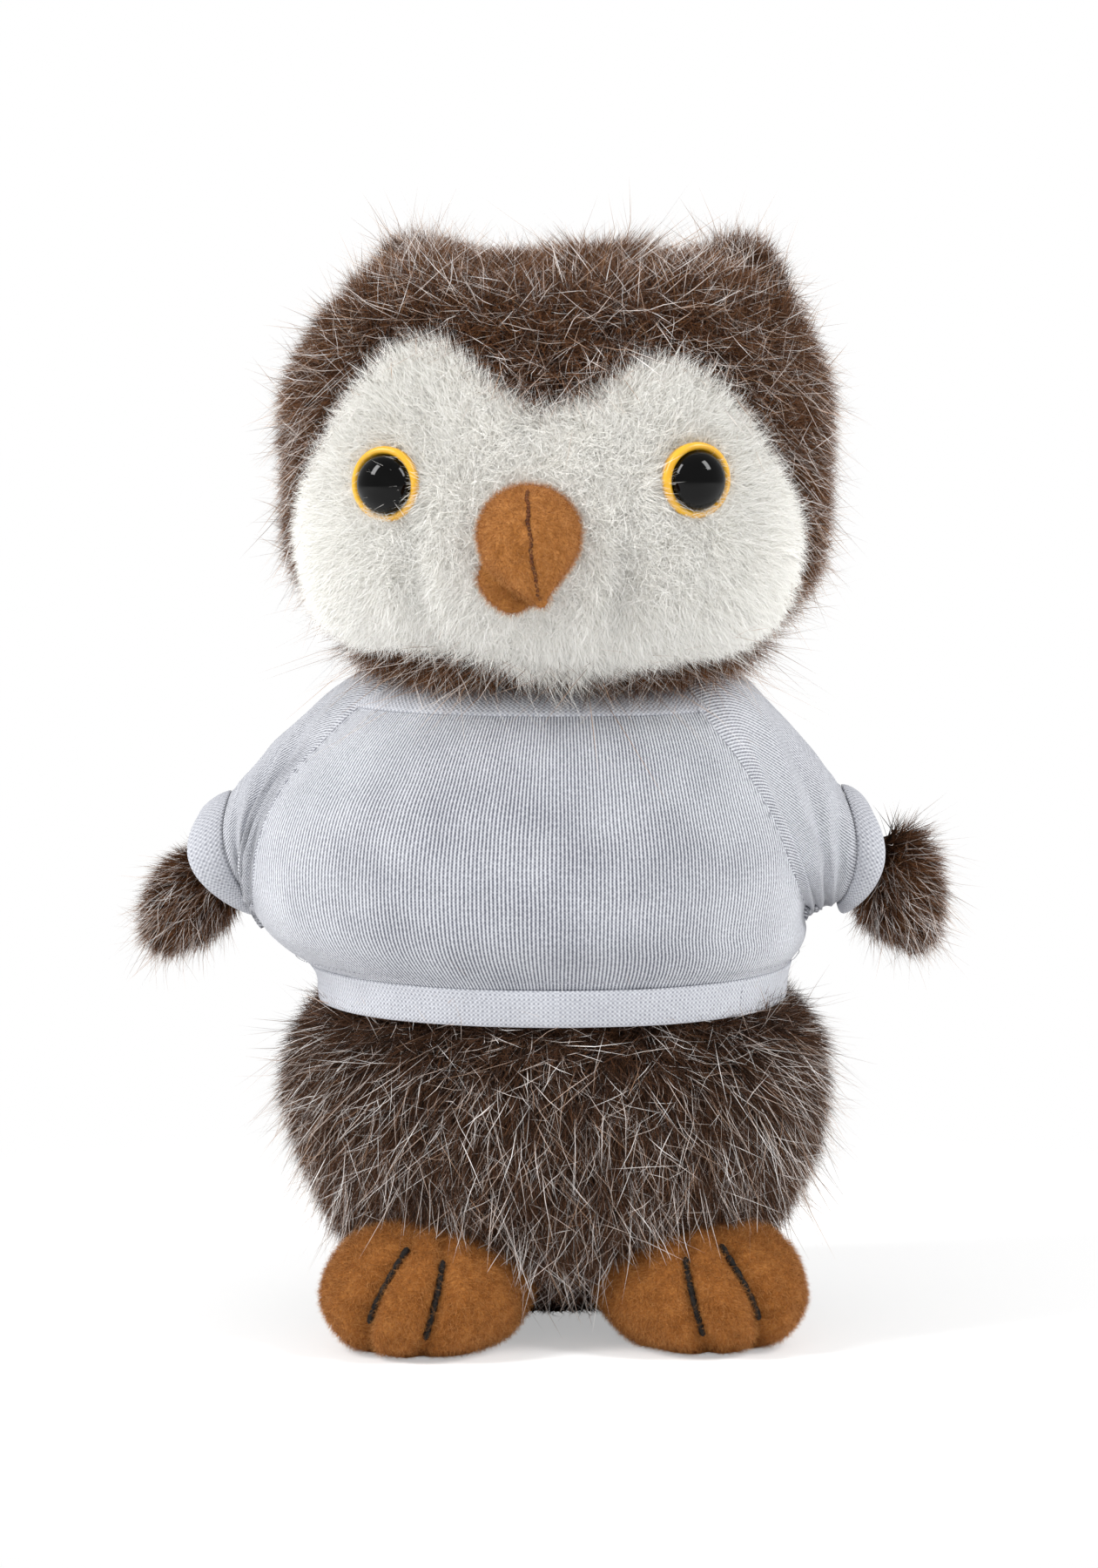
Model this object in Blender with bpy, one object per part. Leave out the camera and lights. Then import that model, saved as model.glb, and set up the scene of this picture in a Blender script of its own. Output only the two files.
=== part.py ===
"""A standing plush owl in a jersey T-shirt.

Every length is in metres. +Z is up, the owl faces -Y, and the origin lies in
the middle of the flat face that the body stands on. The stuffed forms are
stacks of squared ellipses. Skins, stuffing, face, shirt and bands are all read
from the same forms, moved in or out by named thicknesses and clearances.
"""

import math
from dataclasses import dataclass

import bmesh
import bpy
import numpy as np
from mathutils import Matrix, Vector

# Clearances and cuts
SEAM_GAP = 0.0003
STANDING_FLAT = 0.0005
CUT_OVERRUN = 0.004

# Body: stuffed form from the floor to the neck seam
BODY_HEIGHT = 0.1070
BODY_HALF_WIDTH = 0.0440
BODY_HALF_DEPTH = 0.0395
BODY_SQUARENESS = 2.15
SKIN_THICKNESS = 0.0012

# Head: stuffed form that sits on the neck seam
HEAD_HEIGHT = 0.0679
HEAD_HALF_WIDTH = 0.0439
HEAD_HALF_DEPTH = 0.0385
HEAD_SQUARENESS = 2.35
HEAD_TURN_DEG = -4.3

# Face: white plush panel let into the head's skin
FACE_HALF_ANGLE_DEG = 73.0
FACE_BOTTOM = 0.0037
FACE_HEIGHT = 0.0504
FACE_PILE = 0.0018
CHEEK_SWELL = 0.0024
CHEEK_ANGLE_DEG = 34.0
CHEEK_SPREAD_DEG = 24.0
CHEEK_HEIGHT = 0.0165
CHEEK_SPREAD = 0.0130
MUZZLE_SWELL = 0.0034
MUZZLE_SPREAD_DEG = 20.0
MUZZLE_HEIGHT = 0.0215
MUZZLE_SPREAD = 0.0140

# Ear tufts at the head's upper corners
LEFT_EAR_REACH = 0.0235
RIGHT_EAR_REACH = 0.0300
EAR_LEAN = 0.0030
EAR_HEIGHT = 0.0110
EAR_HALF_WIDTH = 0.0082
EAR_HALF_DEPTH = 0.0072
EAR_SINK = 0.0115

# Eyes: yellow plate with a shank, domed black pupil, locking washer
EYE_SPREAD = 0.0233
LEFT_EYE_OUTWARD_DEG = 1.0
RIGHT_EYE_OUTWARD_DEG = 10.0
RIGHT_EYE_RISE = 0.0008
EYE_HEIGHT = 0.0320
EYE_RADIUS = 0.0060
EYE_PLATE = 0.0024
EYE_RIM = 0.0009
EYE_SEAT = 0.0009
EYE_CUP_DEPTH = 0.0011
PUPIL_RADIUS = 0.0045
PUPIL_DOME = 0.0034
SHANK_RADIUS = 0.0020
SHANK_LENGTH = 0.0090
WASHER_RADIUS = 0.0050
WASHER_THICKNESS = 0.0012
WASHER_SETBACK = 0.0022

# Beak: two stuffed lobes and the thread of the upper one's seam
BEAK_HEIGHT = 0.0252
BEAK_HALF_WIDTH = 0.0079
BEAK_HALF_THICKNESS = 0.0072
BEAK_REACH = 0.0150
BEAK_DROP = 0.0100
BEAK_SIDESTEP = 0.0012
BEAK_ROOT_LEFT = 0.0011
LOWER_BEAK_HALF_WIDTH = 0.0056
LOWER_BEAK_HALF_THICKNESS = 0.0040
LOWER_BEAK_REACH = 0.0085
LOWER_BEAK_DROP = 0.0052
LOWER_BEAK_HEIGHT = 0.0200
LOWER_BEAK_SIDESTEP = 0.0022
THREAD_RADIUS = 0.00032
TOE_THREAD_GAP = 0.0005

# Wings: flat stuffed paddles, hinged where they are sewn to the shoulders
WING_ROOT_RISE = 0.0140
WING_ROOT_RADIUS = 0.0046
LEFT_WING_OUT = 0.0178
LEFT_WING_DOWN = 0.0165
RIGHT_WING_OUT = 0.0125
RIGHT_WING_DOWN = 0.0160
WING_FORWARD = 0.0030
WING_HALF_WIDTH = 0.0071
WING_HALF_THICKNESS = 0.0068

# Feet: three-toed stuffed pads
LEFT_FOOT_REACH = 0.0213
RIGHT_FOOT_REACH = 0.0236
LEFT_FOOT_FORWARD = 0.0262
RIGHT_FOOT_FORWARD = 0.0232
FOOT_HALF_WIDTH = 0.0165
FOOT_HALF_LENGTH = 0.0190
FOOT_HEIGHT = 0.0210
FOOT_SPLAY_DEG = 15.0
FOOT_SQUARENESS = 2.2
TOE_GROOVE = 0.0019
TOE_GROOVE_DEG = 16.7
OUTER_TOE_SLANT_DEG = 34.0
INNER_TOE_SLANT_DEG = 18.0
TOE_TURN_DEG = 5.0
TOE_GROOVE_WIDTH_DEG = 7.0
FOOT_TOP_SETBACK = 0.0040

# Shirt: single jersey with bands at collar, hem and cuffs
CLOTH_THICKNESS = 0.0008
BAND_THICKNESS = 0.0012
HEM_DROP = 0.0534
HEM_WIDTH = 0.0058
COLLAR_DROP = 0.0045
COLLAR_WIDTH = 0.0035
RAGLAN_REACH = 0.0282
UNDERARM_DROP = 0.0400
CUFF_SPAN = 0.0195
LEFT_CUFF_SLOPE_DEG = 15.0
RIGHT_CUFF_SLOPE_DEG = 2.0
CUFF_HALF_DEPTH = 0.0111
LEFT_CUFF_TILT_DEG = 26.0
RIGHT_CUFF_TILT_DEG = 9.0
LEFT_CUFF_BULGE = 0.0052
RIGHT_CUFF_BULGE = 0.0044
CUFF_STANDOFF = 0.0014
CUFF_TUCK_OUT = 0.0012
CUFF_TUCK_DOWN = 0.0016
LEFT_CUFF_OUT = 0.0022
LEFT_CUFF_UP = 0.0020
RIGHT_CUFF_IN = 0.0003
RIGHT_CUFF_UP = 0.0023
SHOULDER_SLOPE_DEG = 2.0
FOLD_DEPTH = 0.0011
SLEEVE_FULLNESS_SHARE = 0.36
CUFF_SWELL_SHARE = 0.04
SEAM_BULGE_SHARE = 0.55

# Heights that follow the body's top
HEM_BOTTOM = BODY_HEIGHT - HEM_DROP
COLLAR_SEAM = BODY_HEIGHT - COLLAR_DROP
UNDERARM_HEIGHT = BODY_HEIGHT - UNDERARM_DROP
SHOULDER_HEIGHT = UNDERARM_HEIGHT + WING_ROOT_RISE

# Shares of a form's height, half width and half depth, from its foot upwards
BODY_PROFILE_SHARES = (
    (0.000, 0.000, 0.000),
    (0.003, 0.273, 0.278),
    (0.012, 0.455, 0.468),
    (0.037, 0.602, 0.595),
    (0.079, 0.705, 0.696),
    (0.135, 0.795, 0.797),
    (0.209, 0.898, 0.911),
    (0.284, 0.968, 0.977),
    (0.363, 1.000, 1.000),
    (0.442, 0.973, 0.982),
    (0.507, 0.891, 0.927),
    (0.549, 0.900, 0.937),
    (0.628, 0.998, 0.982),
    (0.712, 0.975, 0.962),
    (0.786, 0.914, 0.916),
    (0.842, 0.872, 0.880),
    (0.898, 0.824, 0.830),
    (0.944, 0.752, 0.752),
    (0.977, 0.646, 0.655),
    (0.994, 0.518, 0.546),
    (1.000, 0.416, 0.456),
)
HEAD_PROFILE_SHARES = (
    (0.000, 0.410, 0.468),
    (0.010, 0.513, 0.545),
    (0.024, 0.615, 0.636),
    (0.047, 0.736, 0.743),
    (0.088, 0.843, 0.847),
    (0.162, 0.925, 0.925),
    (0.295, 0.982, 0.987),
    (0.457, 1.000, 1.000),
    (0.633, 1.000, 0.987),
    (0.781, 0.964, 0.935),
    (0.884, 0.914, 0.856),
    (0.950, 0.826, 0.742),
    (0.985, 0.652, 0.570),
    (0.9985, 0.340, 0.300),
    (1.000, 0.000, 0.000),
)
# Share of the face's half angle, and shares of its height at its two edges
FACE_TOP_SHARES = (
    (0.00, 0.817),
    (0.10, 0.870),
    (0.21, 0.960),
    (0.33, 1.000),
    (0.46, 0.970),
    (0.63, 0.851),
    (0.75, 0.724),
    (0.89, 0.567),
    (0.96, 0.455),
    (1.00, 0.385),
)
FACE_BOTTOM_SHARES = (
    (0.00, 0.000),
    (0.30, 0.002),
    (0.55, 0.020),
    (0.82, 0.062),
    (0.93, 0.140),
    (1.00, 0.255),
)
# Shares of a limb's reach, drop and lean along its spine
WING_SPINE_SHARES = (
    (0.00, 0.00, 0.00),
    (0.38, 0.31, 0.15),
    (0.76, 0.69, 0.75),
    (1.00, 1.00, 1.00),
)
BEAK_SPINE_SHARES = ((0.0, 0.0), (0.36, 0.03), (0.66, 0.26), (0.86, 0.62), (0.92, 1.0))
# Shares along a limb, then of its half width and half thickness
WING_GIRTH_SHARES = (
    (0.25, 0.64, 0.74),
    (0.50, 0.84, 0.92),
    (0.75, 1.00, 0.94),
    (0.90, 0.86, 0.76),
    (1.00, 0.60, 0.52),
)
BEAK_GIRTH_SHARES = (
    (0.00, 0.90, 0.95),
    (0.25, 1.00, 1.00),
    (0.50, 0.93, 0.92),
    (0.75, 0.66, 0.68),
    (0.92, 0.33, 0.36),
    (1.00, 0.12, 0.14),
)
LOWER_BEAK_GIRTH_SHARES = (
    (0.00, 1.00, 1.00),
    (0.50, 0.92, 0.92),
    (0.85, 0.62, 0.62),
    (1.00, 0.34, 0.34),
)
EAR_GIRTH_SHARES = (
    (0.00, 1.00, 1.00),
    (0.50, 0.96, 0.96),
    (0.80, 0.86, 0.84),
    (1.00, 0.66, 0.68),
)
FOOT_PROFILE_SHARES = (
    (0.000, 0.000),
    (0.004, 0.430),
    (0.030, 0.600),
    (0.090, 0.755),
    (0.200, 0.900),
    (0.360, 1.000),
    (0.540, 0.985),
    (0.700, 0.900),
    (0.840, 0.740),
    (0.945, 0.470),
    (0.990, 0.200),
    (1.000, 0.000),
)

OUTER_THREAD_SHARES = (0.455, 0.670)
INNER_THREAD_SHARES = (0.405, 0.620)

# Points round each form, and rings along it
ROUND_FORM = 28
ROUND_LIMB = 16
ROUND_EYE = 18
THREAD_POINTS = 11
FACE_COLUMNS = 27
FACE_ROWS = 12
ROUND_SLEEVE = 20
HALF_PANEL = 14
SLEEVE_ROWS = 13
SLEEVE_FOLDS = 3

FUR_BROWN = "4a382e"
FACE_WHITE = "e6e5dc"
FLEECE_CARAMEL = "a9692f"
FLEECE_BEAK = "b8783a"
FLEECE_BEAK_DARK = "9a5a2a"
THREAD_BLACK = "15120f"
EYE_YELLOW = "e5b93c"
EYE_BLACK = "0a0a0b"
WASHER_WHITE = "d8d8d4"
JERSEY_WHITE = "d9dbe6"
STUFFING_WHITE = "eceae4"


def spline(knots, values, at):
    """Values of a smooth curve through the knots.

    Args:
        knots: rising parameters, one for each row of values.
        values: the rows that the curve passes through.
        at: the parameters to read it at.

    Returns:
        One row for each parameter.
    """
    knots = np.asarray(knots, float)
    values = np.asarray(values, float)
    at = np.asarray(at, float)
    slope = np.gradient(values, knots, axis=0)
    low = np.clip(np.searchsorted(knots, at, side="right") - 1, 0, len(knots) - 2)
    span = knots[low + 1] - knots[low]
    u = (at - knots[low]) / span
    if values.ndim > 1:
        u = u[..., None]
        span = span[..., None]
    return (
        values[low] * (1 + 2 * u) * (1 - u) ** 2
        + values[low + 1] * u * u * (3 - 2 * u)
        + span * slope[low] * u * (1 - u) ** 2
        - span * slope[low + 1] * u * u * (1 - u)
    )


def chord_length(rows):
    """Distance run along the rows, as shares of the whole."""
    steps = np.linalg.norm(np.diff(rows, axis=0), axis=1)
    run = np.concatenate([[0.0], np.cumsum(steps)])
    return run / run[-1]


@dataclass(frozen=True)
class Form:
    """A stuffed form: squared ellipses stacked along Z.

    Attributes:
        foot: height of its lowest row.
        height: from its lowest row to its highest.
        half_width: half of its greatest width, along X.
        half_depth: half of its greatest depth, along Y.
        squareness: exponent of the ellipses, 2 for a true one.
        profile_shares: rows of height, width and depth.
    """

    foot: float
    height: float
    half_width: float
    half_depth: float
    squareness: float
    profile_shares: tuple

    def rows(self):
        """Height, half width and half depth of each row."""
        size = np.array([self.height, self.half_width, self.half_depth])
        return np.array(self.profile_shares) * size + np.array([self.foot, 0.0, 0.0])

    def section(self, run):
        """Height, half width and half depth at shares of the profile's run."""
        rows = self.rows()
        read = spline(chord_length(rows), rows, run)
        return np.maximum(read, [self.foot, 0.0, 0.0])

    def run_at(self, height):
        """Share of the run at which the profile reaches a height."""
        run = np.linspace(0.0, 1.0, 1201)
        return np.interp(height, np.maximum.accumulate(self.section(run)[:, 0]), run)

    def point(self, azimuth, run):
        """Points of the surface.

        Args:
            azimuth: angle from the front, -Y, towards +X.
            run: share of the profile's run, of the same shape.
        """
        high = self.section(np.ravel(run)).reshape(np.shape(run) + (3,))
        power = 2.0 / self.squareness
        across, ahead = np.sin(azimuth), np.cos(azimuth)
        return np.stack(
            [
                high[..., 1] * np.sign(across) * np.abs(across) ** power,
                -high[..., 2] * np.sign(ahead) * np.abs(ahead) ** power,
                high[..., 0],
            ],
            axis=-1,
        )

    def surface(self, azimuth, run, offset):
        """Points of the surface, moved out along its normal by the offset."""
        azimuth, run = np.broadcast_arrays(
            np.asarray(azimuth, float), np.asarray(run, float)
        )
        turn, step = 0.02, 0.004
        low, high = np.clip(run - step, 0.0, 1.0), np.clip(run + step, 0.0, 1.0)
        round_it = self.point(azimuth + turn, run) - self.point(azimuth - turn, run)
        up_it = self.point(azimuth, high) - self.point(azimuth, low)
        normal = np.cross(round_it, up_it)
        size = np.linalg.norm(normal, axis=-1, keepdims=True)
        pole = np.zeros_like(normal)
        pole[..., 2] = np.where(run < 0.5, -1.0, 1.0)
        flat = size < 1e-9 * self.half_width
        normal = np.where(flat, pole, normal / np.where(flat, 1.0, size))
        return self.point(azimuth, run) + normal * np.asarray(offset)[..., None]

    def rings(self, runs, offset, count=ROUND_FORM):
        """Closed rings at shares of the run."""
        azimuth = np.arange(count) * 2 * math.pi / count
        return [
            self.surface(azimuth, np.full(count, r), np.full(count, offset))
            for r in runs
        ]

    def stations(self, low, high, extra=(), least=0.0):
        """Runs of the profile's rows between two heights, with both ends.

        Args:
            low: height of the first station.
            high: height of the last.
            extra: further heights that get a station.
            least: rows nearer than this to a height that was asked for give way.
        """
        asked = [h for h in (low, high, *extra) if low <= h <= high]
        rows = [
            h
            for h in self.rows()[:, 0]
            if low < h < high and min(abs(h - a) for a in asked) > least
        ]
        return self.run_at(np.array(sorted(set(rows + asked))))

    def half_width_at(self, height):
        """Half width of the form at a height."""
        return float(self.section(np.array([self.run_at(height)]))[0, 1])

    def inside(self, points, offset):
        """Below 0 inside the form grown by the offset, above 0 outside it."""
        high = self.section(np.atleast_1d(self.run_at(points[..., 2])))
        wide, deep = high[..., 1] + offset, high[..., 2] + offset
        return (
            np.abs(points[..., 0] / wide) ** self.squareness
            + np.abs(points[..., 1] / deep) ** self.squareness
            - 1.0
        )

    def front_angle(self, reach, height):
        """Azimuth at which the form is this far from its middle plane."""
        share = reach / self.half_width_at(height)
        return math.asin(min(share, 1.0) ** (self.squareness / 2.0))


BODY = Form(
    foot=-STANDING_FLAT,
    height=BODY_HEIGHT + STANDING_FLAT,
    half_width=BODY_HALF_WIDTH,
    half_depth=BODY_HALF_DEPTH,
    squareness=BODY_SQUARENESS,
    profile_shares=BODY_PROFILE_SHARES,
)
NECK_HEIGHT = BODY_HEIGHT + SEAM_GAP
HEAD = Form(
    foot=NECK_HEIGHT,
    height=HEAD_HEIGHT,
    half_width=HEAD_HALF_WIDTH,
    half_depth=HEAD_HALF_DEPTH,
    squareness=HEAD_SQUARENESS,
    profile_shares=HEAD_PROFILE_SHARES,
)


def srgb(hex_colour):
    """Linear RGBA of an sRGB hex colour."""
    parts = [int(hex_colour[i : i + 2], 16) / 255 for i in (0, 2, 4)]
    return [
        p / 12.92 if p <= 0.04045 else ((p + 0.055) / 1.055) ** 2.4 for p in parts
    ] + [1.0]


def material(name, hex_colour, roughness):
    """A Principled material."""
    made = bpy.data.materials.new(name)
    made.use_nodes = True
    shader = made.node_tree.nodes["Principled BSDF"]
    shader.inputs["Base Color"].default_value = srgb(hex_colour)
    shader.inputs["Roughness"].default_value = roughness
    shader.inputs["Metallic"].default_value = 0.0
    made.diffuse_color = srgb(hex_colour)
    return made


def clear_scene():
    """Empties the scene."""
    for old in list(bpy.data.objects):
        bpy.data.objects.remove(old, do_unlink=True)
    for old in list(bpy.data.meshes):
        bpy.data.meshes.remove(old)
    for old in list(bpy.data.materials):
        bpy.data.materials.remove(old)


def pivot(name, location, turn_deg=0.0):
    """An empty on a joint's axis."""
    empty = bpy.data.objects.new(name, None)
    empty.empty_display_size = SKIN_THICKNESS
    empty.location = location
    empty.rotation_euler = (0.0, 0.0, math.radians(turn_deg))
    bpy.context.scene.collection.objects.link(empty)
    return empty


def place(name, mesh, finish, parent=None, at=(0.0, 0.0, 0.0), turn=None):
    """Links a mesh into the scene as a named piece."""
    piece = bpy.data.objects.new(name, mesh)
    bpy.context.scene.collection.objects.link(piece)
    if parent:
        piece.parent = parent
    piece.location = at
    if turn is not None:
        piece.rotation_mode = "QUATERNION"
        piece.rotation_quaternion = turn
    if finish:
        mesh.materials.append(finish)
        mesh.shade_smooth()
        mesh.set_sharp_from_angle(angle=math.radians(50.0))
    return piece


def cutter(name, mesh, parent=None, at=(0.0, 0.0, 0.0), turn=None):
    """A hidden solid that only cuts."""
    helper = place(name, mesh, None, parent, at, turn)
    helper.hide_render = True
    helper.display_type = "WIRE"
    return helper


def cut(piece, helper, keep_inside=False):
    """Cuts a piece by a helper, or keeps only what lies inside it."""
    modifier = piece.modifiers.new(helper.name, "BOOLEAN")
    modifier.object = helper
    modifier.operation = "INTERSECT" if keep_inside else "DIFFERENCE"
    modifier.solver = "EXACT"


def finish_mesh(name, bm, floor=None):
    """Turns the faces out, cuts the mesh flat at the floor and stores it."""
    if floor is not None:
        sliced = bmesh.ops.bisect_plane(
            bm,
            geom=bm.verts[:] + bm.edges[:] + bm.faces[:],
            plane_co=(0.0, 0.0, floor),
            plane_no=(0.0, 0.0, -1.0),
            clear_outer=True,
        )
        rim = [e for e in sliced["geom_cut"] if isinstance(e, bmesh.types.BMEdge)]
        bmesh.ops.contextual_create(bm, geom=rim)
    bmesh.ops.recalc_face_normals(bm, faces=bm.faces[:])
    mesh = bpy.data.meshes.new(name)
    bm.to_mesh(mesh)
    bm.free()
    return mesh


def lofted(name, rings, first=None, last=None, looped=False, floor=None):
    """A closed mesh through rings of equal count.

    Args:
        name: the mesh's name.
        rings: arrays of points, each one closed ring.
        first: a point that closes the first ring, or None for a flat cap.
        last: the same for the last ring.
        looped: joins the last ring to the first instead of capping both.
        floor: height at which the mesh is cut flat.
    """
    bm = bmesh.new()
    laid = [[bm.verts.new(p) for p in ring] for ring in rings]
    count = len(laid[0])
    pairs = list(zip(laid, laid[1:]))
    if looped:
        pairs.append((laid[-1], laid[0]))
    for low, high in pairs:
        for i in range(count):
            j = (i + 1) % count
            bm.faces.new((low[i], low[j], high[j], high[i]))
    if not looped:
        for ring, tip in ((laid[0], first), (laid[-1], last)):
            if tip is None:
                bm.faces.new(ring)
                continue
            top = bm.verts.new(tip)
            for i in range(count):
                bm.faces.new((ring[i], ring[(i + 1) % count], top))
    return finish_mesh(name, bm, floor)


def slab(name, outer, inner):
    """A closed mesh between two open grids of equal shape."""
    bm = bmesh.new()
    grids = [
        [[bm.verts.new(p) for p in column] for column in grid]
        for grid in (outer, inner)
    ]
    wide, tall = len(outer), len(outer[0])
    for grid in grids:
        for i in range(wide - 1):
            for j in range(tall - 1):
                bm.faces.new(
                    (grid[i][j], grid[i + 1][j], grid[i + 1][j + 1], grid[i][j + 1])
                )
    rim = (
        [(i, 0) for i in range(wide)]
        + [(wide - 1, j) for j in range(1, tall)]
        + [(i, tall - 1) for i in range(wide - 2, -1, -1)]
        + [(0, j) for j in range(tall - 2, 0, -1)]
    )
    for (a, b), (c, d) in zip(rim, rim[1:] + rim[:1]):
        bm.faces.new((grids[0][a][b], grids[0][c][d], grids[1][c][d], grids[1][a][b]))
    return finish_mesh(name, bm)


def turned(name, profile, count=ROUND_EYE):
    """A solid turned about Z from rows of radius and height.

    A profile that starts and ends on the axis closes there. Any other is
    closed on itself, so that it leaves a bore.
    """
    turn = np.arange(count) * 2 * math.pi / count
    across, ahead = np.cos(turn), np.sin(turn)
    rings = [
        np.stack([r * across, r * ahead, np.full(count, z)], axis=-1)
        for r, z in profile
        if r > 0.0
    ]
    if profile[0][0] > 0.0:
        return lofted(name, rings, looped=True)
    first, last = (0.0, 0.0, profile[0][1]), (0.0, 0.0, profile[-1][1])
    return lofted(name, rings, first=first, last=last)


def limb(name, spine, girth_shares, half_width, half_thickness, side, count, steps):
    """A round-ended limb swept along a spine.

    Args:
        name: the mesh's name.
        spine: points from root to tip.
        girth_shares: rows of run, width and thickness.
        half_width: half of its greatest width, across the side vector.
        half_thickness: half of its greatest thickness.
        side: vector across the limb, along its width.
        count: points round it.
        steps: rings along it, without those of its round ends.
    """
    spine = np.asarray(spine, float)
    knots = chord_length(spine)
    shares = np.asarray(girth_shares, float)

    def girth(run):
        row = spline(shares[:, 0], shares[:, 1:], np.array([run]))[0]
        return row * np.array([half_width, half_thickness])

    def frame(run):
        step = 1e-3
        ends = spline(knots, spine, np.array([max(run - step, 0.0), min(run + step, 1.0)]))
        ahead = (ends[1] - ends[0]) / np.linalg.norm(ends[1] - ends[0])
        across = np.asarray(side, float) - ahead * np.dot(side, ahead)
        across /= np.linalg.norm(across)
        return spline(knots, spine, np.array([run]))[0], ahead, across

    turn = np.arange(count) * 2 * math.pi / count

    def ring(run, swell, shift):
        middle, ahead, across = frame(run)
        wide, thick = girth(run) * swell
        through = np.cross(ahead, across)
        return (
            middle
            + ahead * shift
            + np.outer(np.cos(turn), across) * wide
            + np.outer(np.sin(turn), through) * thick
        )

    round_shares = (0.42, 0.74, 0.93)
    rings = []
    root_thick, tip_thick = girth(0.0)[1], girth(1.0)[1]
    for share in round_shares:
        rings.append(ring(0.0, share, -root_thick * math.sqrt(1 - share**2)))
    rings += [ring(run, 1.0, 0.0) for run in np.linspace(0.0, 1.0, steps)]
    for share in reversed(round_shares):
        rings.append(ring(1.0, share, tip_thick * math.sqrt(1 - share**2)))
    start, ahead, _ = frame(0.0)
    end, ahead_end, _ = frame(1.0)
    return lofted(
        name, rings, first=start - ahead * root_thick, last=end + ahead_end * tip_thick
    )


def thread(name, route, radius, parent, finish, at=(0.0, 0.0, 0.0)):
    """A stitch thread: a round curve along a route."""
    curve = bpy.data.curves.new(name, "CURVE")
    curve.dimensions = "3D"
    curve.bevel_depth = radius
    curve.bevel_resolution = 1
    curve.use_fill_caps = True
    run = curve.splines.new("POLY")
    run.points.add(len(route) - 1)
    for point, place_at in zip(run.points, route):
        point.co = (*place_at, 1.0)
    piece = bpy.data.objects.new(name, curve)
    bpy.context.scene.collection.objects.link(piece)
    piece.parent = parent
    piece.location = at
    curve.materials.append(finish)
    return piece


def shifted(points, origin):
    """Points counted from an origin."""
    return np.asarray(points) - np.asarray(origin)


def body_stations(low, high):
    """Runs that the body and all that lies on it share, so that facets align."""
    hem_top = HEM_BOTTOM + HEM_WIDTH
    asked = (
        HEM_BOTTOM,
        hem_top,
        hem_top + SEAM_GAP,
        COLLAR_SEAM - SEAM_GAP,
        COLLAR_SEAM,
        COLLAR_SEAM + COLLAR_WIDTH,
    )
    return BODY.stations(low, high, asked, CLOTH_THICKNESS)


def neck_plug(ring, height):
    """Two rings that carry the stuffing through a neck opening."""
    middle = np.append(ring[:, :2].mean(axis=0), ring[:, 2].mean())
    reach = np.linalg.norm(ring[:, :2] - middle[:2], axis=1).mean()
    drawn = middle + (ring - middle) * (1.0 - SKIN_THICKNESS / reach)
    raised = drawn.copy()
    raised[:, 2] = height
    return [drawn, raised]


def body_pieces(fur, stuffing):
    """The body's skin, open at the neck seam, and its stuffing."""
    floor_row = BODY.rows()[1, 0]
    runs = body_stations(floor_row, BODY_HEIGHT)
    outer = BODY.rings(runs, 0.0)
    inner = BODY.rings(runs, -SKIN_THICKNESS)
    foot = (0.0, 0.0, BODY.foot)
    inner_foot = (0.0, 0.0, BODY.foot + SKIN_THICKNESS)
    mesh = lofted(
        "body_skin", outer + inner[::-1], first=foot, last=inner_foot, floor=0.0
    )
    place("body_skin", mesh, fur)
    depth = SKIN_THICKNESS + SEAM_GAP
    rings = BODY.rings(runs, -depth, ROUND_FORM // 2)
    rings += neck_plug(rings[-1], BODY_HEIGHT - SEAM_GAP)
    filled = lofted(
        "body_stuffing", rings, first=(0.0, 0.0, BODY.foot + depth), last=None
    )
    place("body_stuffing", filled, stuffing)


def face_edges(azimuth, grow=0.0):
    """Heights of the face's lower and upper edge at an azimuth."""
    half = math.radians(FACE_HALF_ANGLE_DEG) + grow / HEAD_HALF_WIDTH
    share = np.abs(azimuth) / half
    top, bottom = np.array(FACE_TOP_SHARES), np.array(FACE_BOTTOM_SHARES)
    base = HEAD.foot + FACE_BOTTOM
    return (
        base + FACE_HEIGHT * spline(bottom[:, 0], bottom[:, 1], share) - grow,
        base + FACE_HEIGHT * spline(top[:, 0], top[:, 1], share) + grow,
    )


def face_grid(columns, rows, grow=0.0):
    """Azimuths, runs and edge distances of a grid that fills the face."""
    half = math.radians(FACE_HALF_ANGLE_DEG) + grow / HEAD_HALF_WIDTH
    azimuth = np.linspace(-half, half, columns)
    low, high = face_edges(azimuth, grow)
    up = (1.0 - np.cos(np.linspace(0.0, math.pi, rows))) / 2
    heights = low[:, None] + (high - low)[:, None] * up[None, :]
    runs = HEAD.run_at(heights)
    sides = 1.0 - np.abs(azimuth / half)
    edge = np.minimum(sides[:, None] * 3.2, np.minimum(up, 1.0 - up)[None, :] * 3.6)
    return np.repeat(azimuth[:, None], rows, axis=1), runs, heights, edge


def face_relief(azimuth, heights, edge):
    """How far the white pile stands out of the head's form."""
    cheek_angle = math.radians(CHEEK_ANGLE_DEG)
    cheek = np.exp(
        -(((np.abs(azimuth) - cheek_angle) / math.radians(CHEEK_SPREAD_DEG)) ** 2)
        - ((heights - HEAD.foot - CHEEK_HEIGHT) / CHEEK_SPREAD) ** 2
    )
    muzzle = np.exp(
        -((azimuth / math.radians(MUZZLE_SPREAD_DEG)) ** 2)
        - ((heights - HEAD.foot - MUZZLE_HEIGHT) / MUZZLE_SPREAD) ** 2
    )
    fade = np.clip(edge, 0.0, 1.0)
    fade = np.sqrt(fade * (2.0 - fade))
    pile = FACE_PILE + CHEEK_SWELL * cheek + MUZZLE_SWELL * muzzle
    return pile * fade


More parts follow.
